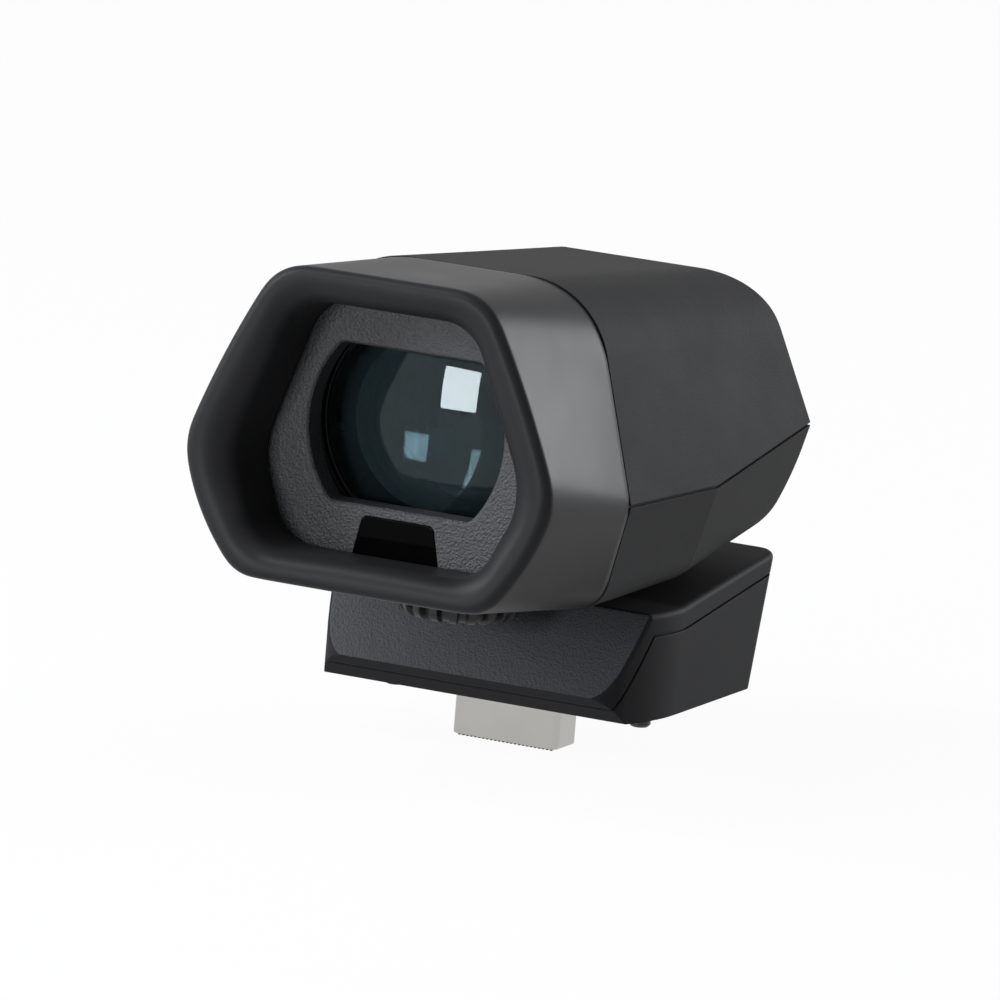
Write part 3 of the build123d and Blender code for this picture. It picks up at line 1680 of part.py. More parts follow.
board_top = board_low + board_thickness
with BuildPart() as base_board:
    block(
        (-base_board_half_width, base_board_half_width),
        (base_board_near_y, base_board_far_y),
        (board_low, board_top),
    )
    for side in (-1, 1):
        bore(side * base_board_screw_x, base_board_screw_y, board_low, board_top, small_screw_radius + slip)
finish(base_board, "base_board")

with BuildPart() as base_board_screws:
    for side in (-1, 1):
        x = side * base_board_screw_x
        tube(x, base_board_screw_y, board_top - base_board_screw_length, board_top, small_screw_radius)
        tube(x, base_board_screw_y, board_top, board_top + small_screw_head_height, small_screw_head_radius)
finish(base_board_screws, "base_board_screws")

# Captive mounting screw, lifted by its spring and kept by a clip

clip_top = cup_bottom - clip_gap
clip_bottom = clip_top - clip_thickness
with BuildPart() as mounting_screw:
    tube(0, screw_y, mount_head_bottom, mount_head_top, mount_screw_head_radius)
    tube(0, screw_y, clip_top, mount_head_bottom, mount_screw_radius)
    tube(0, screw_y, clip_bottom, clip_top, clip_groove_radius)
    tube(0, screw_y, mount_screw_tip, clip_bottom, mount_screw_radius)
    with Locations((0, screw_y, mount_head_top)):
        Box(
            span,
            coin_slot_width,
            coin_slot_depth,
            align=(Align.CENTER, Align.CENTER, Align.MAX),
            mode=Mode.SUBTRACT,
        )
finish(mounting_screw, "mounting_screw")

with BuildPart() as screw_clip:
    tube(0, screw_y, clip_bottom, clip_top, clip_radius)
    bore(0, screw_y, clip_bottom, clip_top, clip_groove_radius + running_gap)
    block(
        (-clip_groove_radius, clip_groove_radius),
        (screw_y, screw_y + clip_radius),
        (clip_bottom, clip_top),
        mode=Mode.SUBTRACT,
    )
finish(screw_clip, "screw_clip")

spring_height = mount_head_bottom - spring_seat - 2 * spring_wire_radius
spring_start = spring_seat + spring_wire_radius
with BuildPart() as screw_spring:
    with BuildLine():
        Helix(
            spring_height / spring_turn_count,
            spring_height,
            spring_radius,
            center=(0, screw_y, spring_start),
        )
    with BuildSketch(Plane.XZ.offset(-screw_y)):
        with Locations((spring_radius, spring_start)):
            Circle(spring_wire_radius)
    sweep(is_frenet=True)
finish(screw_spring, "screw_spring")
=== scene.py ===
import json
import math

import bpy
import numpy as np
from mathutils import Matrix, Vector


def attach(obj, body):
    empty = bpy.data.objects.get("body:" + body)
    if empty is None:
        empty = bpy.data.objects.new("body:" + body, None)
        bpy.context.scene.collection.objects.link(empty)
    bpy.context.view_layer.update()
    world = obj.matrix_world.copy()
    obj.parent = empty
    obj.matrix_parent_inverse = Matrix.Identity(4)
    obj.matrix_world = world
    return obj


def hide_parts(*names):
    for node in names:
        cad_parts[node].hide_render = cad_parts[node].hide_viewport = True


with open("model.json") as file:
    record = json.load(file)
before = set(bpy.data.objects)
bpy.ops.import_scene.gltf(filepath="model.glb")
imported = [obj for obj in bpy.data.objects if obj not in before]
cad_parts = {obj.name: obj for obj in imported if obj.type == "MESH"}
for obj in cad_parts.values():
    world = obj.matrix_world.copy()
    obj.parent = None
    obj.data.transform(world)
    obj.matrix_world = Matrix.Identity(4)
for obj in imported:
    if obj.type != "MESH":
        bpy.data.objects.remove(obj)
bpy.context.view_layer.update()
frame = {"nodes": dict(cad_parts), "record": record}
nodes = frame["nodes"]
print("frame loaded:", len(nodes), "nodes")

mm = 0.001

# Camera fitted to the photograph: turn, height and roll in degrees, lens and scale in pixels
cameraView = {
    "turn": 24.7,
    "height": 10.5,
    "roll": 4.7,
    "focalPixels": 10800.0,
    "pixelsPerMm": 7.63,
    "originPixel": (518.2, 682.8),
    "photoSize": 1000.0,
    "sensorWidth": 36.0,
    "clipEnd": 20.0,
}


def addCamera(view):
    turn = math.radians(view["turn"])
    height = math.radians(view["height"])
    roll = math.radians(view["roll"])
    level = math.cos(height)
    back = Vector((math.sin(turn) * level, -math.cos(turn) * level, math.sin(height)))
    forward = -back
    right = Vector((math.cos(turn), math.sin(turn), 0))
    up = right.cross(forward)
    imageRight = right * math.cos(roll) + up * math.sin(roll)
    imageDown = right * math.sin(roll) - up * math.cos(roll)
    distance = view["focalPixels"] / view["pixelsPerMm"] * mm
    shiftRight, shiftDown = (
        (pixel - view["photoSize"] / 2) / view["focalPixels"] * distance for pixel in view["originPixel"]
    )
    place = -(imageRight * shiftRight + imageDown * shiftDown + forward * distance)
    data = bpy.data.cameras.new("photoCamera")
    data.lens = view["focalPixels"] / view["photoSize"] * view["sensorWidth"]
    data.sensor_width = view["sensorWidth"]
    data.clip_end = view["clipEnd"]
    camera = bpy.data.objects.new("photoCamera", data)
    bpy.context.scene.collection.objects.link(camera)
    camera.matrix_world = Matrix.Translation(place) @ Matrix((
        (imageRight.x, -imageDown.x, -forward.x),
        (imageRight.y, -imageDown.y, -forward.y),
        (imageRight.z, -imageDown.z, -forward.z),
    )).to_4x4()
    bpy.context.scene.camera = camera


addCamera(cameraView)
bpy.context.scene.view_settings.view_transform = "Standard"

# Studio: white surroundings for the camera, and softboxes in front, left, above and behind
# (metres, watts)
studio = {
    "worldGrey": 0.10,
    "lampColor": (0.95, 0.97, 1.0),
    "lampAim": (0, -0.01, 0.03),
    "floorReach": 3.0,
    "floorDrop": 0.00765,
    "floorColor": 0.70,
    "floorRoughness": 0.9,
    "floorGlow": 0.95,
    "lamps": {
        "keyBox": {"place": (-0.42, -0.50, 0.80), "size": (0.30, 0.30), "power": 4.0},
        "frontBox": {"place": (-0.113, -0.52, 0.070), "size": (0.115, 0.12), "power": 1.4},
        "leftBox": {"place": (-0.80, -0.46, 0.52), "size": (0.42, 0.50), "power": 8.0},
        "sideBox": {"place": (-0.82, -0.60, 0.24), "size": (0.26, 0.38), "power": 6.5},
        "backBox": {"place": (0.50, 0.82, 0.24), "size": (0.5, 0.35), "power": 7.5},
        "topBox": {"place": (0.15, 0.05, 0.90), "size": (0.6, 0.5), "power": 0.4},
    },
}


def nodeOf(tree, kind, **inputs):
    node = tree.nodes.new(kind)
    for name, value in inputs.items():
        node.inputs[name].default_value = value
    return node


def mathNode(tree, operation, first, second):
    node = tree.nodes.new("ShaderNodeMath")
    node.operation = operation
    for socket, value in zip(node.inputs, (first, second)):
        if isinstance(value, (int, float)):
            socket.default_value = value
        else:
            tree.links.new(value, socket)
    return node.outputs[0]


# 1 for rays from the camera, from mirrors and through glass, 0 for the light that surfaces scatter
def seenRays(tree):
    ray = tree.nodes.new("ShaderNodeLightPath").outputs
    seen = mathNode(tree, "MAXIMUM", ray["Is Camera Ray"], ray["Is Glossy Ray"])
    return mathNode(tree, "MAXIMUM", seen, ray["Is Transmission Ray"])


# The camera, mirrors and glass see white; only soft grey light falls on the object from all round
def addWorld(grey):
    world = bpy.data.worlds.new("studioWorld")
    bpy.context.scene.world = world
    world.use_nodes = True
    tree = world.node_tree
    tree.nodes.clear()
    output = tree.nodes.new("ShaderNodeOutputWorld")
    mix = tree.nodes.new("ShaderNodeMixShader")
    soft = nodeOf(tree, "ShaderNodeBackground", Color=(grey, grey, grey, 1), Strength=1.0)
    white = nodeOf(tree, "ShaderNodeBackground", Color=(1, 1, 1, 1), Strength=1.0)
    tree.links.new(seenRays(tree), mix.inputs[0])
    tree.links.new(soft.outputs[0], mix.inputs[1])
    tree.links.new(white.outputs[0], mix.inputs[2])
    tree.links.new(mix.outputs[0], output.inputs[0])


def addLamp(name, spec):
    data = bpy.data.lights.new(name, "AREA")
    data.shape = "RECTANGLE"
    data.size, data.size_y = spec["size"]
    data.energy = spec["power"]
    data.color = studio["lampColor"]
    lamp = bpy.data.objects.new(name, data)
    bpy.context.scene.collection.objects.link(lamp)
    place = Vector(spec["place"])
    aim = Vector(studio["lampAim"]) - place
    lamp.matrix_world = Matrix.Translation(place) @ aim.to_track_quat("-Z", "Y").to_matrix().to_4x4()


# Pale floor that glows white for seen rays, and keeps enough of its lit surface to show the shadow
def addFloor(spec):
    mesh = bpy.data.meshes.new("studioFloor")
    reach, drop, pale = spec["floorReach"], spec["floorDrop"], spec["floorColor"]
    mesh.from_pydata(
        [(-reach, -reach, -drop), (reach, -reach, -drop), (reach, reach, -drop), (-reach, reach, -drop)],
        [],
        [(0, 1, 2, 3)],
    )
    floor = bpy.data.objects.new("studioFloor", mesh)
    bpy.context.scene.collection.objects.link(floor)
    material = bpy.data.materials.new("paleFloor")
    material.use_nodes = True
    tree = material.node_tree
    shader = tree.nodes["Principled BSDF"]
    shader.inputs["Base Color"].default_value = (pale, pale, pale, 1)
    shader.inputs["Roughness"].default_value = spec["floorRoughness"]
    white = nodeOf(tree, "ShaderNodeEmission", Color=(1, 1, 1, 1), Strength=1.0)
    mix = tree.nodes.new("ShaderNodeMixShader")
    tree.links.new(mathNode(tree, "MULTIPLY", seenRays(tree), spec["floorGlow"]), mix.inputs[0])
    tree.links.new(shader.outputs[0], mix.inputs[1])
    tree.links.new(white.outputs[0], mix.inputs[2])
    tree.links.new(mix.outputs[0], tree.nodes["Material Output"].inputs["Surface"])
    mesh.materials.append(material)


addWorld(studio["worldGrey"])
for lampName, lampSpec in studio["lamps"].items():
    addLamp(lampName, lampSpec)
addFloor(studio)
print("studio ready")

# Texture settings that all finishes share
grainRecipe = {"detail": 2.5, "fineShare": 0.55, "cellSmoothness": 0.6, "cellScale": 0.8, "edgeSamples": 6}
driftRecipe = {"detail": 3.0, "fineShare": 0.5}


# Empty node group with its input and output sockets
def newGroup(name, inputs, outputs):
    group = bpy.data.node_groups.new(name, "ShaderNodeTree")
    for label, kind, value in inputs:
        socket = group.interface.new_socket(name=label, in_out="INPUT", socket_type=kind)
        socket.default_value = value
    for label, kind in outputs:
        group.interface.new_socket(name=label, in_out="OUTPUT", socket_type=kind)
    return group, group.nodes.new("NodeGroupInput").outputs, group.nodes.new("NodeGroupOutput").inputs


# Moulded or sparked grain: fine noise blended with rounded cells, and edges rounded by a small radius
def buildGrainGroup(recipe):
    group, given, out = newGroup(
        "mouldedGrain",
        [
            ("Grain Size", "NodeSocketFloat", 0.0002),
            ("Grain Depth", "NodeSocketFloat", 0.00001),
            ("Cell Share", "NodeSocketFloat", 0.0),
            ("Edge Radius", "NodeSocketFloat", 0.0002),
        ],
        [("Normal", "NodeSocketVector")],
    )
    coords = group.nodes.new("ShaderNodeTexCoord")
    noise = nodeOf(group, "ShaderNodeTexNoise", Detail=recipe["detail"], Roughness=recipe["fineShare"])
    cells = group.nodes.new("ShaderNodeTexVoronoi")
    cells.feature = "SMOOTH_F1"
    cells.inputs["Smoothness"].default_value = recipe["cellSmoothness"]
    group.links.new(coords.outputs["Object"], noise.inputs["Vector"])
    perGrain = mathNode(group, "DIVIDE", 1.0, given["Grain Size"])
    group.links.new(perGrain, noise.inputs["Scale"])
    group.links.new(mathNode(group, "MULTIPLY", perGrain, recipe["cellScale"]), cells.inputs["Scale"])
    stray = group.nodes.new("ShaderNodeVectorMath")
    stray.operation = "MULTIPLY_ADD"
    group.links.new(noise.outputs["Color"], stray.inputs[0])
    group.links.new(given["Grain Size"], stray.inputs[1])
    group.links.new(coords.outputs["Object"], stray.inputs[2])
    group.links.new(stray.outputs[0], cells.inputs["Vector"])
    blend = group.nodes.new("ShaderNodeMix")
    group.links.new(given["Cell Share"], blend.inputs["Factor"])
    group.links.new(noise.outputs["Fac"], blend.inputs["A"])
    group.links.new(cells.outputs["Distance"], blend.inputs["B"])
    rounding = group.nodes.new("ShaderNodeBevel")
    rounding.samples = recipe["edgeSamples"]
    group.links.new(given["Edge Radius"], rounding.inputs["Radius"])
    bump = nodeOf(group, "ShaderNodeBump", Strength=1.0)
    group.links.new(given["Grain Depth"], bump.inputs["Distance"])
    group.links.new(blend.outputs["Result"], bump.inputs["Height"])
    group.links.new(rounding.outputs["Normal"], bump.inputs["Normal"])
    group.links.new(bump.outputs["Normal"], out["Normal"])
    return group


# Slow drift of colour and roughness, as handling and moulding leave on a surface
def buildDriftGroup(recipe):
    group, given, out = newGroup(
        "unevenFinish",
        [
            ("Color", "NodeSocketColor", (0.5, 0.5, 0.5, 1)),
            ("Roughness", "NodeSocketFloat", 0.5),
            ("Patch Size", "NodeSocketFloat", 0.008),
            ("Color Drift", "NodeSocketFloat", 0.1),
            ("Roughness Drift", "NodeSocketFloat", 0.05),
        ],
        [("Color", "NodeSocketColor"), ("Roughness", "NodeSocketFloat")],
    )
    coords = group.nodes.new("ShaderNodeTexCoord")
    noise = nodeOf(group, "ShaderNodeTexNoise", Detail=recipe["detail"], Roughness=recipe["fineShare"])
    group.links.new(coords.outputs["Object"], noise.inputs["Vector"])
    group.links.new(mathNode(group, "DIVIDE", 1.0, given["Patch Size"]), noise.inputs["Scale"])
    swing = mathNode(group, "MULTIPLY", mathNode(group, "SUBTRACT", noise.outputs["Fac"], 0.5), 2.0)
    shade = mathNode(group, "ADD", mathNode(group, "MULTIPLY", swing, given["Color Drift"]), 1.0)
    tinted = group.nodes.new("ShaderNodeVectorMath")
    tinted.operation = "SCALE"
    group.links.new(given["Color"], tinted.inputs[0])
    group.links.new(shade, tinted.inputs["Scale"])
    group.links.new(tinted.outputs[0], out["Color"])
    rough = mathNode(group, "MULTIPLY", swing, given["Roughness Drift"])
    group.links.new(mathNode(group, "ADD", rough, given["Roughness"]), out["Roughness"])
    return group


grainGroup = buildGrainGroup(grainRecipe)
driftGroup = buildDriftGroup(driftRecipe)

# Finishes: colour, roughness, shine of the clear surface, and grain size and depth in mm
finishes = {
    "hoodRubber": {
        "color": (0.014, 0.014, 0.015), "roughness": 0.42, "shine": 0.07,
        "grain": (0.12, 0.004, 0.0),
    },
    "framePlastic": {
        "color": (0.010, 0.010, 0.011), "roughness": 0.55, "shine": 0.3,
        "grain": (0.2, 0.008, 0.0),
    },
    "plateLeather": {
        "color": (0.028, 0.029, 0.031), "roughness": 0.50, "shine": 0.3,
        "grain": (0.28, 0.22, 0.4),
    },
    "sensorGloss": {
        "color": (0.001, 0.001, 0.001), "roughness": 0.06, "shine": 0.03,
        "grain": (2.0, 0.0005, 0.0),
    },
    "shellPlastic": {
        "color": (0.010, 0.010, 0.0108), "roughness": 0.74, "shine": 0.12,
        "grain": (0.2, 0.04, 0.3),
    },
    "footPlastic": {
        "color": (0.010, 0.010, 0.011), "roughness": 0.6, "shine": 0.06,
        "grain": (0.2, 0.014, 0.3),
    },
    "dialPlastic": {
        "color": (0.010, 0.010, 0.011), "roughness": 0.40, "shine": 0.25,
        "grain": (0.2, 0.006, 0.0),
    },
    "insertPlastic": {
        "color": (0.010, 0.010, 0.010), "roughness": 0.45, "shine": 0.4,
        "grain": (0.2, 0.006, 0.0),
    },
    "boardGreen": {
        "color": (0.02, 0.09, 0.045), "roughness": 0.35, "shine": 0.5,
        "grain": (0.4, 0.004, 0.0),
    },
    "plugNickel": {
        "color": (0.42, 0.415, 0.395), "roughness": 0.12, "metallic": 1.0,
        "grain": (0.3, 0.0008, 0.0),
    },
    "steelBright": {
        "color": (0.50, 0.50, 0.51), "roughness": 0.28, "metallic": 1.0,
        "grain": (0.15, 0.002, 0.0),
    },
    "screwBlack": {
        "color": (0.03, 0.03, 0.03), "roughness": 0.38, "metallic": 1.0,
        "grain": (0.15, 0.002, 0.0),
    },
    "brassGear": {
        "color": (0.60, 0.46, 0.21), "roughness": 0.30, "metallic": 1.0,
        "grain": (0.15, 0.002, 0.0),
    },
    "contactGold": {
        "color": (0.83, 0.61, 0.25), "roughness": 0.24, "metallic": 1.0,
        "grain": (0.15, 0.001, 0.0),
    },
    "chassisGrey": {
        "color": (0.22, 0.22, 0.23), "roughness": 0.42, "metallic": 1.0,
        "grain": (0.3, 0.006, 0.0),
    },
}

# What the finishes share: lengths in mm, drifts as shares, and the shine where a finish names none
wear = {"edgeRadius": 0.22, "patchSize": 9.0, "colorDrift": 0.08, "roughnessDrift": 0.04, "shine": 0.5}


def groupNode(tree, group, **values):
    node = tree.nodes.new("ShaderNodeGroup")
    node.node_tree = group
    for label, value in values.items():
        node.inputs[label.replace("_", " ")].default_value = value
    return node


def makeMaterial(name, spec):
    material = bpy.data.materials.new(name)
    material.use_nodes = True
    tree = material.node_tree
    shader = tree.nodes["Principled BSDF"]
    shader.inputs["Metallic"].default_value = spec.get("metallic", 0.0)
    shader.inputs["Specular IOR Level"].default_value = spec.get("shine", wear["shine"])
    size, depth, cellShare = spec["grain"]
    grain = groupNode(
        tree, grainGroup, Grain_Size=size * mm, Grain_Depth=depth * mm, Cell_Share=cellShare,
        Edge_Radius=wear["edgeRadius"] * mm,
    )
    drift = groupNode(
        tree, driftGroup, Color=(*spec["color"], 1), Roughness=spec["roughness"],
        Patch_Size=wear["patchSize"] * mm, Color_Drift=wear["colorDrift"],
        Roughness_Drift=wear["roughnessDrift"],
    )
    tree.links.new(drift.outputs["Color"], shader.inputs["Base Color"])
    tree.links.new(drift.outputs["Roughness"], shader.inputs["Roughness"])
    tree.links.new(grain.outputs["Normal"], shader.inputs["Normal"])
    return material


materials = {name: makeMaterial(name, spec) for name, spec in finishes.items()}

# Coarse, paler grain on the foot's sloping near panel: a point on it and its outward normal, in mm
panelGrain = {
    "place": (0.0, -16.9, 3.4),
    "normal": (0.0, -0.8533, 0.5214),
    "depth": 0.06,
    "color": (0.040, 0.041, 0.044),
    "grain": (0.30, 0.28),
}


# 1 where a point lies within depth of the panel's plane, 0 elsewhere
def planeMask(tree, spec):
    coords = tree.nodes.new("ShaderNodeTexCoord")
    shifted = tree.nodes.new("ShaderNodeVectorMath")
    shifted.operation = "SUBTRACT"
    tree.links.new(coords.outputs["Object"], shifted.inputs[0])
    shifted.inputs[1].default_value = [value * mm for value in spec["place"]]
    along = tree.nodes.new("ShaderNodeVectorMath")
    along.operation = "DOT_PRODUCT"
    tree.links.new(shifted.outputs[0], along.inputs[0])
    along.inputs[1].default_value = spec["normal"]
    distance = mathNode(tree, "ABSOLUTE", along.outputs["Value"], 0.0)
    return mathNode(tree, "LESS_THAN", distance, spec["depth"] * mm)


# Switches a finish to the panel's grain and colour where the mask is 1
def addPanelGrain(material, base, spec):
    tree = material.node_tree
    mask = planeMask(tree, spec)
    groups = {node.node_tree.name: node for node in tree.nodes if node.type == "GROUP"}
    grain, drift = groups["mouldedGrain"], groups["unevenFinish"]
    for socket, plain, coarse in (("Grain Size", base["grain"][0], spec["grain"][0]),
                                  ("Grain Depth", base["grain"][1], spec["grain"][1])):
        change = mathNode(tree, "MULTIPLY", mask, (coarse - plain) * mm)
        tree.links.new(mathNode(tree, "ADD", change, plain * mm), grain.inputs[socket])
    tint = tree.nodes.new("ShaderNodeMix")
    tint.data_type = "RGBA"
    tree.links.new(mask, tint.inputs["Factor"])
    tint.inputs["A"].default_value = (*base["color"], 1)
    tint.inputs["B"].default_value = (*spec["color"], 1)
    tree.links.new(tint.outputs["Result"], drift.inputs["Color"])


addPanelGrain(materials["footPlastic"], finishes["footPlastic"], panelGrain)

# Finish of each material slot, and of the one node that differs from its slot
slotFinishes = {
    "hood_rubber": "hoodRubber", "frame_plastic": "framePlastic", "plate_plastic": "plateLeather",
    "sensor_black": "sensorGloss", "circuit_board": "boardGreen", "component_black": "insertPlastic",
    "spring_steel": "steelBright", "polished_steel": "steelBright", "dial_plastic": "dialPlastic",
    "gear_brass": "brassGear", "screw_steel": "steelBright", "seal_rubber": "hoodRubber",
    "chassis_aluminium": "chassisGrey", "shell_plastic": "shellPlastic", "screw_black": "screwBlack",
    "hinge_steel": "shellPlastic", "foot_plastic": "footPlastic", "plug_nickel": "plugNickel",
    "insert_plastic": "insertPlastic", "contact_gold": "contactGold", "pin_plastic": "insertPlastic",
    "coated_glass": "coatedGlass", "lens_glass": "clearGlass",
}
nodeFinishes = {"lens_clips": "screwBlack"}

# Glass: tint of what passes through it, colour of what its coating reflects, and share that is clear
glasses = {
    "coatedGlass": {"tint": (0.18, 0.29, 0.33), "coating": (0.42, 0.47, 0.48), "clear": 0.96, "bend": 1.55},
    "clearGlass": {"tint": (0.85, 0.92, 0.92), "coating": (0.03, 0.045, 0.045), "clear": 1.0, "bend": 1.55},
}


def makeGlass(name, spec):
    material = bpy.data.materials.new(name)
    material.use_nodes = True
    shader = material.node_tree.nodes["Principled BSDF"]
    shader.inputs["Base Color"].default_value = (*spec["tint"], 1)
    shader.inputs["Roughness"].default_value = 0.0
    shader.inputs["IOR"].default_value = spec["bend"]
    shader.inputs["Transmission Weight"].default_value = spec["clear"]
    shader.inputs["Specular Tint"].default_value = (*spec["coating"], 1)
    return material


materials.update({name: makeGlass(name, spec) for name, spec in glasses.items()})
slotOf = {entry["node"]: entry["material_slot"] for entry in frame["record"]["subparts"]}
for nodeName, node in nodes.items():
    finish = nodeFinishes.get(nodeName, slotFinishes[slotOf[nodeName]])
    for slot in node.material_slots:
        slot.material = materials[finish]
print("finishes given")

# Rubber hood (mm): half width, height and radius of the corners of its rim, mouth, well, frame and
# seam; how far its flanks bow; and its rolls as shares of the rim's width
hoodShape = {
    "rim": {"waist": (26.45, 35.2, 10.0), "top": (14.7, 59.9, 7.0), "bottom": (17.6, 18.9, 6.0)},
    "mouth": {"waist": (21.25, 34.6, 10.0), "top": (12.2, 55.4, 6.0), "bottom": (15.4, 22.9, 6.0)},
    "well": {"waist": (19.45, 33.8, 10.0), "top": (12.4, 54.6, 6.0), "bottom": (15.6, 22.2, 6.0)},
    "frame": {"waist": (22.45, 31.5, 3.0), "top": (14.5, 56.15, 8.0), "bottom": (18.8, 19.25, 4.0)},
    "seam": {"waist": (25.35, 30.8, 7.0), "top": (17.9, 58.4, 12.0), "bottom": (22.2, 16.4, 5.0)},
    "rimY": -51.8,
    "wellY": -41.05,
    "seamY": -25.47,
    "upperBow": 0.5,
    "lowerBow": 0.9,
    "outerRollShare": 0.26,
    "innerRollShare": 0.68,
    "backEdge": 0.2,
    "cornerSteps": 16,
    "flankSteps": 28,
    "wallSteps": 26,
    "rollSteps": 12,
    "smoothing": 10,
}


# Points round one ring: an arc of its radius at each corner, and between arcs a cubic flank,
# start * (2t^3 - 3t^2 + 1) + end * (3t^2 - 2t^3) + leave * (t^3 - 2t^2 + t) + arrive * (t^3 - t^2),
# whose tangents are those of a flank bowed outward; then a 1-2-1 mean is taken a few times
def hexRing(corners, bows, shape):
    waist, top, bottom = corners["waist"], corners["top"], corners["bottom"]
    mirrored = [(-corner[0], *corner[1:]) for corner in (top, waist, bottom)]
    places = np.array([waist, top, *mirrored, bottom])
    points, radii = places[:, :2], places[:, 2][:, None]
    sides = np.roll(points, -1, axis=0) - points
    heading = np.arctan2(sides[:, 1], sides[:, 0])
    swing = 2 * np.arctan(2 * np.array(bows) / np.linalg.norm(sides, axis=1))
    leaving = heading - swing
    arriving = np.roll(heading + swing, 1)
    turning = ((leaving - arriving) % (2 * math.pi))[:, None]
    behind = np.stack([np.cos(arriving), np.sin(arriving)], axis=1)
    ahead = np.stack([np.cos(leaving), np.sin(leaving)], axis=1)
    inward = np.stack([-behind[:, 1], behind[:, 0]], axis=1)
    centres = points - behind * radii * np.tan(turning / 2) + inward * radii
    angle = turning[:, None] * np.linspace(0, 1, shape["cornerSteps"] + 1)[None, :, None]
    spokes = behind[:, None] * np.sin(angle) - inward[:, None] * np.cos(angle)
    arcs = centres[:, None] + spokes * radii[:, None]
    along = (np.arange(1, shape["flankSteps"]) / shape["flankSteps"])[None, :, None]
    starts, ends = arcs[:, -1:], np.roll(arcs[:, :1], -1, axis=0)
    reach = np.linalg.norm(ends - starts, axis=2)[:, :, None]
    flanks = (
        starts * (2 * along**3 - 3 * along**2 + 1)
        + ends * (3 * along**2 - 2 * along**3)
        + ahead[:, None] * reach * (along**3 - 2 * along**2 + along)
        + np.roll(behind, -1, axis=0)[:, None] * reach * (along**3 - along**2)
    )
    ring = np.concatenate([arcs, flanks], axis=1).reshape(-1, 2)
    for _ in range(shape["smoothing"]):
        ring = (np.roll(ring, 1, axis=0) + 2 * ring + np.roll(ring, -1, axis=0)) / 4
    return ring


# Rings of points from the seam forward over the rolled rim, back down the mouth and round the frame:
# a roll of size r at turn a lies r * (1 - cos a) inward and r * (1 - sin a) behind the rim's face
def hoodGrid(shape):
    flat = (0,) * 6
    bows = (shape["upperBow"], 0, shape["upperBow"], shape["lowerBow"], 0, shape["lowerBow"])
    rim = hexRing(shape["rim"], bows, shape)
    mouth, well, seat, seam = (
        hexRing(shape[key], flat, shape) for key in ("mouth", "well", "frame", "seam")
    )
    rimY, wellY, seamY = shape["rimY"], shape["wellY"], shape["seamY"]
    inward = mouth - rim
    width = np.linalg.norm(inward, axis=1)[:, None]
    inward = inward / width
    outerRoll, innerRoll = shape["outerRollShare"] * width, shape["innerRollShare"] * width
    edge, length, floor = shape["backEdge"], seamY - rimY, wellY - rimY
    wall = np.linspace(0, 1, shape["wallSteps"])

    def outerWall(depth):
        return rim + (seam - rim) * depth / length

    def innerWall(depth):
        return mouth + (well - mouth) * depth / floor

    rings = []
    for share in wall:
        depth = (length - edge) * (1 - share) + outerRoll * share
        rings.append((outerWall(depth), depth))
    turn = np.linspace(0, math.pi / 2, shape["rollSteps"] + 1)[1:]
    for angle in turn:
        depth = outerRoll * (1 - math.sin(angle))
        rings.append((outerWall(depth) + inward * outerRoll * (1 - math.cos(angle)), depth))
    for angle in turn[::-1]:
        depth = innerRoll * (1 - math.sin(angle))
        rings.append((innerWall(depth) - inward * innerRoll * (1 - math.cos(angle)), depth))
    for share in wall[::2]:
        depth = innerRoll * (1 - share) + floor * share
        rings.append((innerWall(depth), depth))
    for share in wall[::2]:
        rings.append((seat, floor * (1 - share) + length * share))
    acrossSeam = (seat - seam) / np.linalg.norm(seat - seam, axis=1)[:, None]
    rings.append((seam + acrossSeam * edge, length))
    return np.stack([
        np.column_stack([ring[:, 0], rimY + np.broadcast_to(depth, (len(ring), 1))[:, 0], ring[:, 1]])
        for ring, depth in rings
    ]) * mm


# Closed skin over a grid of rings: its last ring meets the first, or flat caps close both ends
def wrappedMesh(name, grid, capped=False):
    rows, columns = grid.shape[:2]
    index = np.arange(rows * columns).reshape(rows, columns)
    right = np.roll(index, -1, axis=1)
    faces = np.stack([index, right, np.roll(right, -1, axis=0), np.roll(index, -1, axis=0)], axis=-1)
    caps = []
    if capped:
        faces = faces[:-1]
        caps = [index[0, ::-1].tolist(), index[-1].tolist()]
    mesh = bpy.data.meshes.new(name)
    mesh.from_pydata(grid.reshape(-1, 3).tolist(), [], faces.reshape(-1, 4).tolist() + caps)
    mesh.polygons.foreach_set("use_smooth", [True] * len(mesh.polygons))
    mesh.update()
    piece = bpy.data.objects.new(name, mesh)
    bpy.context.scene.collection.objects.link(piece)
    return piece


hood = wrappedMesh("rubberHood", hoodGrid(hoodShape))
hood.data.materials.append(materials["hoodRubber"])
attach(hood, "head")
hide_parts("eyecup")
print("hood built:", len(hood.data.polygons), "faces")

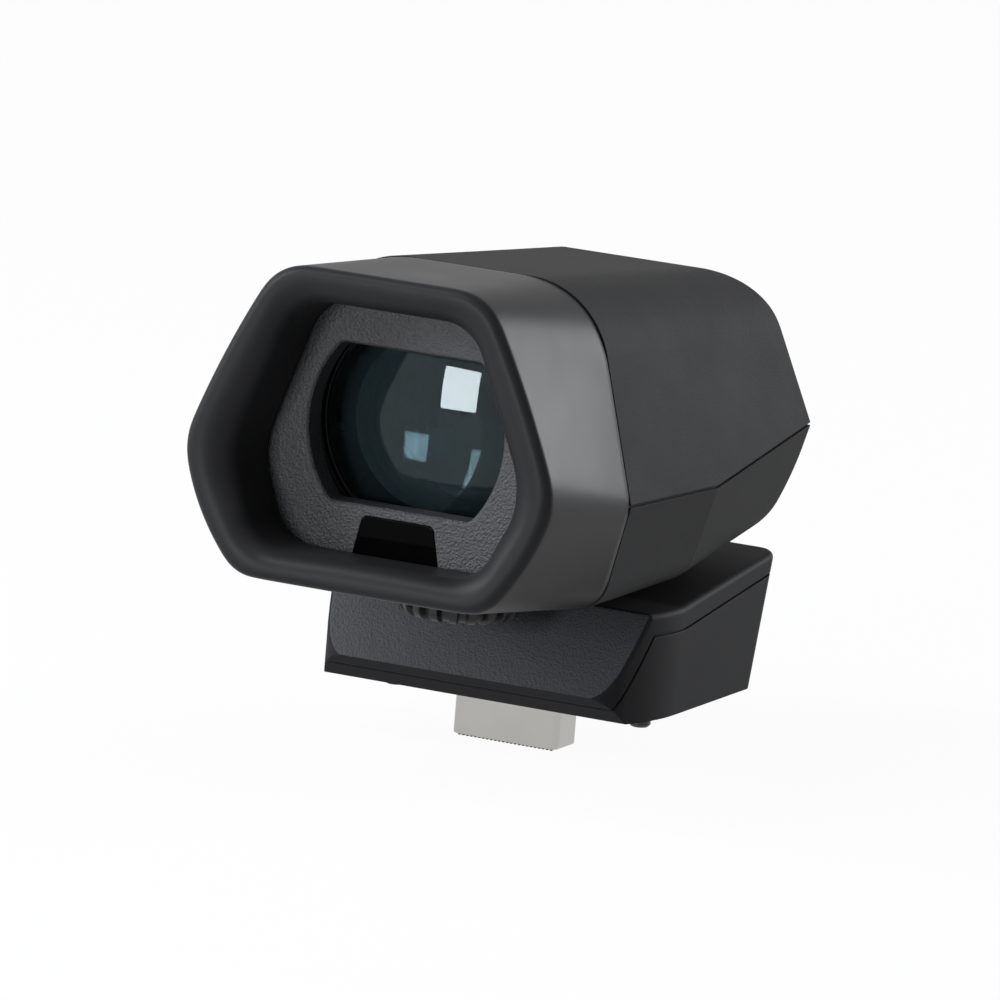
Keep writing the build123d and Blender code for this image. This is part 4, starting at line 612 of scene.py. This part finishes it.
# Dioptre dial (mm): ribs that reach lower than its solid's, on the solid's own axis and shaft
dialShape = {
    "axisY": -20.4,
    "bottom": 12.0,
    "top": 16.1,
    "radius": 7.8,
    "faceRadius": 6.1,
    "hubRadius": 3.8,
    "taperHeight": 1.6,
    "ribs": 18,
    "grooveDepth": 1.15,
    "grooveSharpness": 1.7,
    "shaft": ((2.0, 16.1), (2.0, 21.0), (1.3, 21.0), (1.3, 23.6), (0.6, 23.6), (0.6, 20.2)),
    "cornerAngle": 32.0,
    "stepsPerRib": 20,
    "taperSteps": 10,
}


# Radius of the ribbed wheel at an angle t: R(z) - depth * s(t), with s = u*u*(3 - 2*u) and
# u = clip(0.5 + sharpness * cos(ribs * t), 0, 1), so that s is 1 in a groove and 0 on a rib
def dialGrid(shape):
    angle = np.linspace(0, 2 * math.pi, shape["ribs"] * shape["stepsPerRib"], endpoint=False)
    groove = np.clip(0.5 + shape["grooveSharpness"] * np.cos(shape["ribs"] * angle), 0, 1)
    groove = groove**2 * (3 - 2 * groove) * shape["grooveDepth"]
    bottom, top, face = shape["bottom"], shape["top"], shape["faceRadius"]
    profile = [(shape["hubRadius"], bottom, 0), (face, bottom, 1)]
    for turn in np.linspace(0, math.pi / 2, shape["taperSteps"] + 1)[1:]:
        radius = face + (shape["radius"] - face) * math.sin(turn)
        profile.append((radius, bottom + shape["taperHeight"] * (1 - math.cos(turn)), 1))
    profile += [(shape["radius"], top, 1), (shape["hubRadius"], top, 0)]
    profile += [(radius, height, 0) for radius, height in shape["shaft"]]
    rings = []
    for radius, height, share in profile:
        reach = radius - groove * share
        rings.append(np.column_stack([
            reach * np.cos(angle), shape["axisY"] + reach * np.sin(angle), np.full_like(angle, height),
        ]))
    return np.stack(rings) * mm


dial = wrappedMesh("ribbedDial", dialGrid(dialShape), capped=True)
dial.data.set_sharp_from_angle(angle=math.radians(dialShape["cornerAngle"]))
dial.data.materials.append(materials["dialPlastic"])
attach(dial, "dial")
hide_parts("diopter_dial")
print("dial built:", len(dial.data.polygons), "faces")
